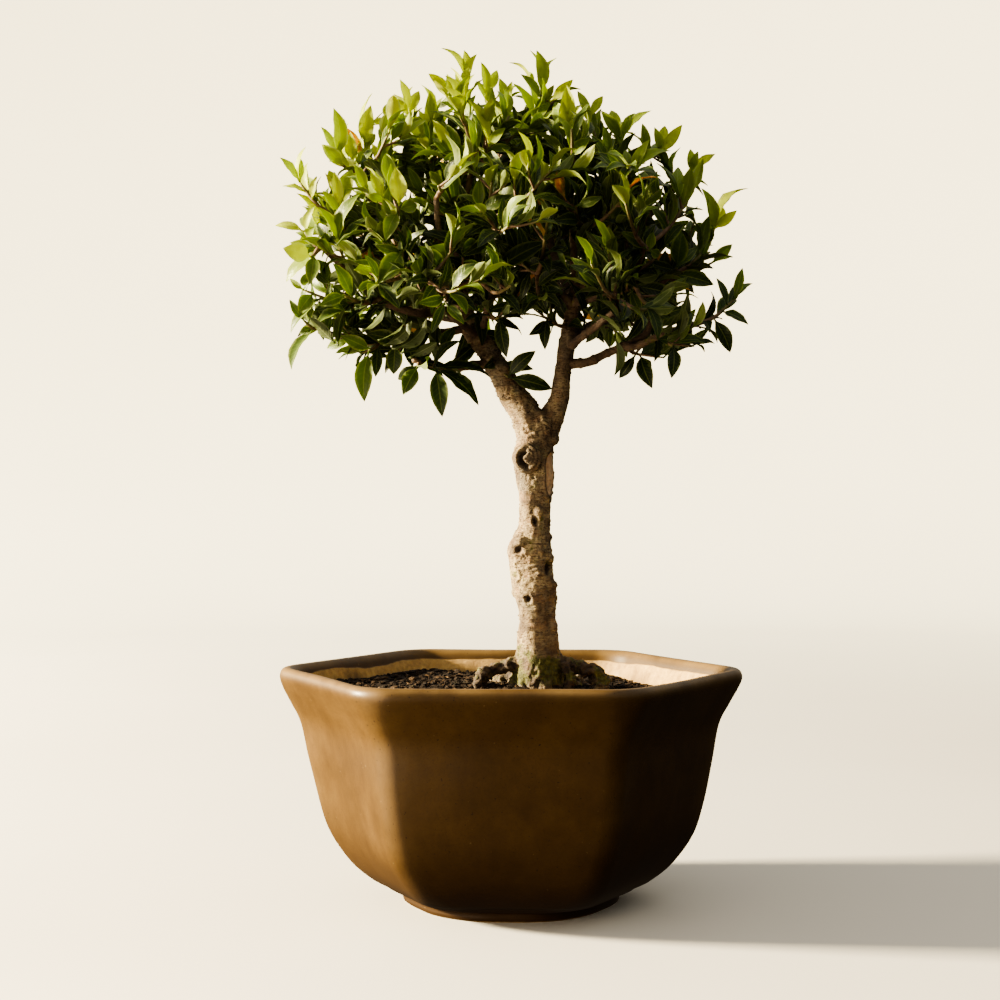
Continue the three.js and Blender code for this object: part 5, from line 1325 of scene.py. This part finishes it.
# First the shoots' lines and the leaves read off the front, so that no other leaf covers them.
pieces = []
for index, spray in enumerate(sprays):
    piece = {"leaves": [], "youth_and_sunlight": [], "tone": [], "yellowed": [], "twigs": [],
             "twig_youth": [], "lines": []}
    pieces.append(piece)
    root, shoots = spray["root"], spray["shoots"]
    middle_end = sum(shoot["end"] for shoot in shoots) / len(shoots)
    fork = root + FORK_AT * (middle_end - root) if len(shoots) > 1 else root
    for number, shoot in enumerate(shoots):
        bend = fork + 0.5 * (shoot["end"] - fork)
        bend[2] -= SHOOT_SAG * np.linalg.norm(shoot["end"] - fork)
        line = [fork, bend, shoot["end"]]
        if number == 0 and len(shoots) > 1:
            line = [root] + line
        line = smooth_through(np.array(line), 6)
        piece["lines"].append((line, number, shoot))
        for at, *tip, seen in shoot["seen"] or []:
            start, tip = part_way(line, at), np.array(tip, float)
            way = tip - start
            width = max(seen, SLENDER * np.linalg.norm(way))
            way = unit(way)
            front = unit(FRONT + way * way[1])
            turn = math.acos(min(1.0, seen / width))
            up = max((spun(front, way, turn), spun(front, way, -turn)), key=lambda v: v[2])
            set_leaves.append((start, tip))
            draw = draws_of(1000 + 40 * index + len(set_leaves))
            grow_leaf(piece, start, tip, up, width, (1 - at) * 3, draw, 0.0)

# Then the other leaves, the twiglets beside each shoot, and the shoot as far as it has leaves.
for index, piece in enumerate(pieces):
    for line, number, shoot in piece["lines"]:
        draw = draws_of(7000 + 20 * index + number)
        reach = np.linalg.norm(np.diff(line, axis=0), axis=1).sum()
        step = LEAF_STEP / reach
        if shoot["seen"] is None:
            upto = spiral_leaves(piece, line, 10, 1.0, step, draw)
        else:
            spiral_leaves(piece, line, 10, 0.97, 1.15 * step, draw)
            upto = 1.0
        for side in range(5 if reach > 30 else 3):
            at = 0.86 - 0.14 * side
            start = part_way(line, at)
            ahead = unit(part_way(line, at + 0.06) - part_way(line, at - 0.06))
            across = unit(np.cross(ODD_WAY, ahead))
            turn = 6.283 * draw() + side * GOLDEN
            out = across * math.cos(turn) + np.cross(ahead, across) * math.sin(turn)
            way = unit(0.7 * ahead + out + 0.35 * SKYWARD)
            end = start + way * drawn(TWIGLETS, draw)
            if not inside_crown(end, 0.9) or hides_set_leaf(end):
                continue
            twiglet = smooth_through(np.array([start, (start + end) / 2 + 0.6 * out, end]), 6)
            reached = spiral_leaves(piece, twiglet, 4, 1.0, 0.24, draw, 0.92)
            if reached > 0:
                grow_twig(piece, twiglet, 0.6, 0.38, reached, 6)
                upto = max(upto, at)
        if upto > 0 or number == 0:
            grow_twig(piece, line, 1.15, 0.5, max(upto, 0.4))



def side_veins(leaf, across):
    """Fine stripes that slant forward from the rib to the leaf's edge."""
    slant = sum_of(leaf, "SUBTRACT", sum_of(leaf, "MULTIPLY", mark_of(leaf, "along"), 62),
                   sum_of(leaf, "MULTIPLY", across, 9))
    return node(leaf, "Math", {0: slant}, operation="SINE")


def leaf_finish(name, colours, rib, rib_amount, gloss, shine_through):
    """A leathery leaf: its colours from old to young and from shaded to painted sunlit, with a
    pale rib, faint side veins and a partly painted lit margin.
    """
    leaf = finish_named(name, gloss, Specular_IOR_Level=0.32)
    across = node(leaf, "Math", {0: mark_of(leaf, "across")}, operation="ABSOLUTE")
    tone = sum_of(leaf, "MULTIPLY", sum_of(leaf, "SUBTRACT", mark_of(leaf, "tone"), 0.5), 0.26)
    # The colour follows the leaf's age and the painted sunlight kept with it.
    colour = shades(leaf, sum_of(leaf, "ADD", mark_of(leaf, "youth_and_sunlight"), tone), colours)
    blotches = mottle(leaf, place_on(leaf), 5, 3)
    colour = laid_over(leaf, node(leaf, "MapRange", {
        "Value": blotches, "From Min": 0.45, "From Max": 0.75, "To Max": 0.16}),
        colour, tuple(c * 0.5 for c in colours[1][1]))
    yellow = mark_of(leaf, "yellowed")
    colour = laid_over(leaf, yellow, colour, shades(leaf, blotches, [
        (0.35, (0.62, 0.40, 0.035)), (0.65, (0.52, 0.22, 0.03))]))
    vein_lines = eased(leaf, side_veins(leaf, across), 0.55, 1.0)
    colour = dabbed(leaf, vein_lines, 0.05, colour, rib)
    rib_line = node(leaf, "MapRange", {"Value": across, "From Min": 0.10, "From Max": 0.03,
                                       "To Min": 0.0, "To Max": rib_amount})
    colour = laid_over(leaf, rib_line, colour, rib)
    # The pale margin is partly painted light: it is lighter on young and sunlit leaves, standing
    # in for light glowing through their edges.
    pale_margin_and_edge_light = node(leaf, "MapRange", {"Value": across, "From Min": 0.68, "From Max": 1.0,
                                     "To Min": 0.0, "To Max": 0.85})
    pale_margin_and_edge_light = sum_of(leaf, "MULTIPLY", pale_margin_and_edge_light, sum_of(leaf, "ADD", mark_of(leaf, "youth_and_sunlight"), 0.26))
    colour = laid_over(leaf, pale_margin_and_edge_light, colour, rib)
    onto(leaf, "Base Color", colour)
    relief(leaf, [(vein_lines, 0.05), (mottle(leaf, place_on(leaf), 2.5, 2), 0.14)])
    shader = leaf.node_tree.nodes["Principled BSDF"]
    glow = node(leaf, "HueSaturation", {"Color": colour, "Saturation": 1.08, "Value": 1.65})
    through = node(leaf, "BsdfTranslucent", {"Color": glow})
    both = node(leaf, "MixShader", {0: shine_through, 1: shader.outputs[0], 2: through})
    leaf.node_tree.links.new(both, leaf.node_tree.nodes["Material Output"].inputs[0])
    return leaf


leaf_top = leaf_finish("leaf_upper_face", [
    (0.0, (0.021, 0.036, 0.010)), (0.22, (0.042, 0.070, 0.017)), (0.42, (0.080, 0.125, 0.026)),
    (0.64, (0.155, 0.222, 0.038)), (0.84, (0.280, 0.360, 0.052)), (1.0, (0.45, 0.51, 0.070))],
    (0.43, 0.48, 0.13), 0.26, 0.42, 0.36)
leaf_below = leaf_finish("leaf_under_face", [
    (0.0, (0.085, 0.110, 0.036)), (0.22, (0.110, 0.145, 0.042)), (0.45, (0.155, 0.195, 0.050)),
    (0.68, (0.220, 0.265, 0.055)), (0.88, (0.31, 0.350, 0.060)), (1.0, (0.40, 0.42, 0.070))],
    (0.34, 0.40, 0.17), 0.45, 0.52, 0.34)
shoot_bark = finish_named("shoot_bark", 0.62)
on_shoot = place_on(shoot_bark)
shoot_clouds = mottle(shoot_bark, on_shoot, 2.5, 4)
shoot_colour = laid_over(
    shoot_bark, eased(shoot_bark, mark_of(shoot_bark, "youth_and_sunlight"), 0.45, 1.0),
    shades(shoot_bark, shoot_clouds, [
        (0.35, (0.095, 0.052, 0.026)), (0.65, (0.225, 0.140, 0.075))]),
    shades(shoot_bark, shoot_clouds, [
        (0.35, (0.125, 0.110, 0.028)), (0.65, (0.205, 0.190, 0.055))]))
onto(shoot_bark, "Base Color", shoot_colour)
relief(shoot_bark, [(shoot_clouds, 0.12)])

for index, piece in enumerate(pieces):
    twig_points, twig_faces = gather(piece["twigs"])
    leaf_count = len(piece["leaves"])
    points = np.concatenate([np.array(piece["leaves"]).reshape(-1, 3), twig_points])
    first = leaf_count * POINTS_PER_LEAF
    faces = [tuple(i + n * POINTS_PER_LEAF for i in face)
             for n in range(leaf_count) for face in leaf_faces]
    finish_of = [int(under) for _ in range(leaf_count) for under in leaf_under]
    faces += [tuple(i + first for i in face) for face in twig_faces]
    finish_of += [2] * len(twig_faces)
    name = "spray_%02d" % (index + 1)
    spray = new_piece(name + "_leafy", points, faces)
    for material in (leaf_top, leaf_below, shoot_bark):
        spray.data.materials.append(material)
    spray.data.polygons.foreach_set("material_index", finish_of)
    bare_twig = [0.0] * len(twig_points)
    marked(spray, "youth_and_sunlight", piece["youth_and_sunlight"] + piece["twig_youth"])
    marked(spray, "tone", piece["tone"] + bare_twig)
    marked(spray, "yellowed", piece["yellowed"] + bare_twig)
    marked(spray, "across", leaf_across * leaf_count + bare_twig)
    marked(spray, "along", leaf_along * leaf_count + bare_twig)
    sharp = {tuple(sorted((a + n * POINTS_PER_LEAF, b + n * POINTS_PER_LEAF)))
             for n in range(leaf_count) for a, b in leaf_edges}
    edge_mark = spray.data.attributes.new("sharp_edge", "BOOLEAN", "EDGE")
    edge_mark.data.foreach_set("value", [tuple(sorted(edge.vertices)) in sharp
                                         for edge in spray.data.edges])
    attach(spray, "root")
    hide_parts(name)

# ---- fallen leaves -----------------------------------------------------------------------------
# Two leaves that the tree has dropped, dried and curled: a yellow one at the back left and a
# brown one at the trunk's right. They lie loose on the soil.

DRY_WIDTH, CURL_ACROSS, CURL_ALONG = 6.2, 0.16, 0.012
dry_leaf = finish_named("dry_fallen_leaf", 0.68)
on_dry = place_on(dry_leaf)
dry_blotches = mottle(dry_leaf, on_dry, 3.5, 5, 0.65)
dry_colour = laid_over(
    dry_leaf, mark_of(dry_leaf, "browned"),
    shades(dry_leaf, dry_blotches, [(0.35, (0.36, 0.17, 0.02)), (0.6, (0.66, 0.38, 0.045))]),
    shades(dry_leaf, dry_blotches, [(0.35, (0.080, 0.042, 0.020)), (0.6, (0.26, 0.155, 0.075))]))
dry_across = node(dry_leaf, "Math", {0: mark_of(dry_leaf, "across")}, operation="ABSOLUTE")
dry_colour = laid_over(dry_leaf, node(dry_leaf, "MapRange", {
    "Value": dry_across, "From Min": 0.75, "From Max": 1.0, "To Min": 0.0, "To Max": 0.6}),
    dry_colour, (0.52, 0.40, 0.22))
onto(dry_leaf, "Base Color", dry_colour)
relief(dry_leaf, [(side_veins(dry_leaf, dry_across), 0.14), (dry_blotches, 0.35)])
for name, browned, curl_up in (("fallen_leaf_yellow", 0.0, 0.9), ("fallen_leaf_brown", 1.0, 1.6)):
    low, high = ((np.array(corner) - POT_MIDDLE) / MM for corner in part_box(name))
    slope = 1 if name.endswith("yellow") else -1
    root = np.array((low[0], low[1] if slope > 0 else high[1], 0))
    tip = np.array((high[0], high[1] if slope > 0 else low[1], 0))
    width = DRY_WIDTH + 0.8 * browned
    lying = np.array(leaf_points(root, tip, SKYWARD, width, draws_of(77 if browned else 78)))
    way = unit(tip - root)
    side = np.cross(SKYWARD, way)
    along_leaf, across_leaf = (lying - root) @ way, (lying - root) @ side
    lying[:, 2] += curl_up * CURL_ACROSS * across_leaf ** 2
    lying[:, 2] += curl_up * CURL_ALONG * (along_leaf - 0.45 * np.linalg.norm(tip - root)) ** 2
    ground_here = [soil_height(x, y) for x, y, _ in lying]
    lying[:, 2] += max(g - z for g, (_, _, z) in zip(ground_here, lying)) * 0.6 + 0.3
    fallen = new_piece(name + "_curled", lying, leaf_faces)
    marked(fallen, "browned", [browned] * POINTS_PER_LEAF)
    marked(fallen, "across", leaf_across)
    marked(fallen, "along", leaf_along)
    fallen.data.materials.append(dry_leaf)
    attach(fallen, "root")
    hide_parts(name)

# ---- floor, light and camera -------------------------------------------------------------------
# A plain pale sweep: a level floor that curves up all round into a softly glowing wall. A small
# soft light stands low on the left, as a late sun does, a weak even light comes from above and
# two weak warm ones from the floor in front on that side, as off sunlit ground. The sweep throws
# no light back on the tree, so that the side away from the light stays deep.

FLOOR_REACH, SWEEP_BEND, SWEEP_TOP = 1.5, 0.8, 2.6
SWEEP_SIDES, BEND_STEPS = 72, 16
GLOW_FROM, GLOW_FULL, WALL_GLOW = 0.35, 2.0, (1.34, 1.18, 0.70)
LOW_LIGHT, HIGH_LIGHT, WALL_LIGHT = (0.130, 0.104, 0.074), (0.60, 0.58, 0.53), (0.62, 0.57, 0.48)
KEY_PLACE, KEY_SIZE, KEY_POWER, KEY_COLOUR = (-2.10, 0.01, 0.68), 0.24, 450, (1.0, 0.86, 0.58)
GROUND_PLACE, GROUND_SIZE, GROUND_POWER = (-0.34, -0.24, 0.012), 0.45, 0.95
NEAR_PLACE, NEAR_SIZE, NEAR_POWER = (-0.18, -0.26, 0.06), 0.2, 0.50
GROUND_COLOUR = (1.0, 0.81, 0.58)
ROOM_LEFT, ROOM_RIGHT = 1.35, 0.4  # strength of the room's even light on either side
LENS, SENSOR, VIEW_DOWN = 62.9, 36, math.radians(0.26)
VIEW_TURN = math.radians(2.2)
VIEW_BACK, VIEW_ASIDE, VIEW_HEIGHT = 760 * MM, -4.785 * MM, 176.5 * MM

sweep_profile = [(0.0, 0.0), (0.3, 0.0), (0.8, 0.0), (FLOOR_REACH, 0.0)]
for step in range(1, BEND_STEPS + 1):
    angle = step / BEND_STEPS * math.pi / 2
    sweep_profile.append((FLOOR_REACH + SWEEP_BEND * math.sin(angle),
                          SWEEP_BEND * (1 - math.cos(angle))))
sweep_profile.append((FLOOR_REACH + SWEEP_BEND, SWEEP_TOP))
sweep_points, sweep_faces = [(0.0, 0.0, 0.0)], []
for radius, height in sweep_profile[1:]:
    for i in range(SWEEP_SIDES):
        angle = i / SWEEP_SIDES * 2 * math.pi
        sweep_points.append((radius * math.cos(angle), radius * math.sin(angle), height))
for i in range(SWEEP_SIDES):
    sweep_faces.append((0, 1 + i, 1 + (i + 1) % SWEEP_SIDES))
for level in range(len(sweep_profile) - 2):
    low = 1 + SWEEP_SIDES * level
    high = low + SWEEP_SIDES
    for i in range(SWEEP_SIDES):
        j = (i + 1) % SWEEP_SIDES
        sweep_faces.append((low + i, high + i, high + j, low + j))
sweep_mesh = bpy.data.meshes.new("pale_floor")
sweep_mesh.from_pydata(sweep_points, [], sweep_faces)
sweep_mesh.polygons.foreach_set("use_smooth", [True] * len(sweep_faces))
pale_floor = bpy.data.objects.new("pale_floor", sweep_mesh)
bpy.context.scene.collection.objects.link(pale_floor)
pale_paint = finish_named("pale_paint", 0.8, Emission_Strength=1.0)
from_tree = node(pale_paint, "VectorMath", {0: place_on(pale_paint)}, "Value", operation="LENGTH")
glow = eased(pale_paint, from_tree, GLOW_FROM, GLOW_FULL)
paint_clouds = mottle(pale_paint, place_on(pale_paint), 300, 2)
onto(pale_paint, "Base Color", shades(pale_paint, paint_clouds, [
    (0.3, (0.70, 0.66, 0.58)), (0.7, (0.73, 0.69, 0.61))]))
onto(pale_paint, "Emission Color", laid_over(pale_paint, glow, (0, 0, 0), WALL_GLOW))
pale_floor.data.materials.append(pale_paint)
pale_floor.visible_diffuse = False
pale_floor.visible_glossy = False

world = bpy.data.worlds.new("pale_room")
world.use_nodes = True
toward = node(world, "TexCoord", {}, "Generated")
rightward, backward, upward = (node(world, "SeparateXYZ", {0: toward}, axis) for axis in range(3))
from_above = eased(world, upward, -0.15, 0.85)
room = laid_over(world, from_above, LOW_LIGHT, HIGH_LIGHT)
level_back = sum_of(world, "MULTIPLY", eased(world, backward, 0.25, 0.9),
                    eased(world, upward, -0.3, 0.1))
room = laid_over(world, level_back, room, WALL_LIGHT)
background = world.node_tree.nodes["Background"]
world.node_tree.links.new(room, background.inputs[0])
dim_right = sum_of(world, "MULTIPLY", eased(world, rightward, -0.8, 0.8),
                   eased(world, upward, 0.6, 0.0))
strength = node(world, "MapRange", {"Value": dim_right, "From Min": 0.0, "From Max": 1.0,
                                    "To Min": ROOM_LEFT, "To Max": ROOM_RIGHT})
world.node_tree.links.new(strength, background.inputs[1])
bpy.context.scene.world = world


def soft_light(name, place, size, power, colour):
    """A square light that faces the middle of the tree, and is not itself seen."""
    data = bpy.data.lights.new(name, "AREA")
    data.size = size
    data.energy = power
    data.color = colour
    light = bpy.data.objects.new(name, data)
    light.location = place
    towards = Vector((0, 0, 0.2)) - Vector(place)
    light.rotation_euler = towards.to_track_quat("-Z", "Y").to_euler()
    light.visible_camera = False
    bpy.context.scene.collection.objects.link(light)


soft_light("key_left", KEY_PLACE, KEY_SIZE, KEY_POWER, KEY_COLOUR)
soft_light("ground_left", GROUND_PLACE, GROUND_SIZE, GROUND_POWER, GROUND_COLOUR)
soft_light("ground_near", NEAR_PLACE, NEAR_SIZE, NEAR_POWER, GROUND_COLOUR)

bpy.context.scene.view_settings.look = "AgX - Medium High Contrast"

camera_data = bpy.data.cameras.new("camera")
camera_data.sensor_width = SENSOR
camera_data.lens = LENS
camera = bpy.data.objects.new("camera", camera_data)
camera.location = (
    POT_MIDDLE[0] + VIEW_BACK * math.sin(VIEW_TURN) + VIEW_ASIDE * math.cos(VIEW_TURN),
    POT_MIDDLE[1] - VIEW_BACK * math.cos(VIEW_TURN) + VIEW_ASIDE * math.sin(VIEW_TURN),
    VIEW_HEIGHT)
camera.rotation_euler = (math.radians(90) - VIEW_DOWN, 0, VIEW_TURN)
bpy.context.scene.collection.objects.link(camera)
bpy.context.scene.camera = camera
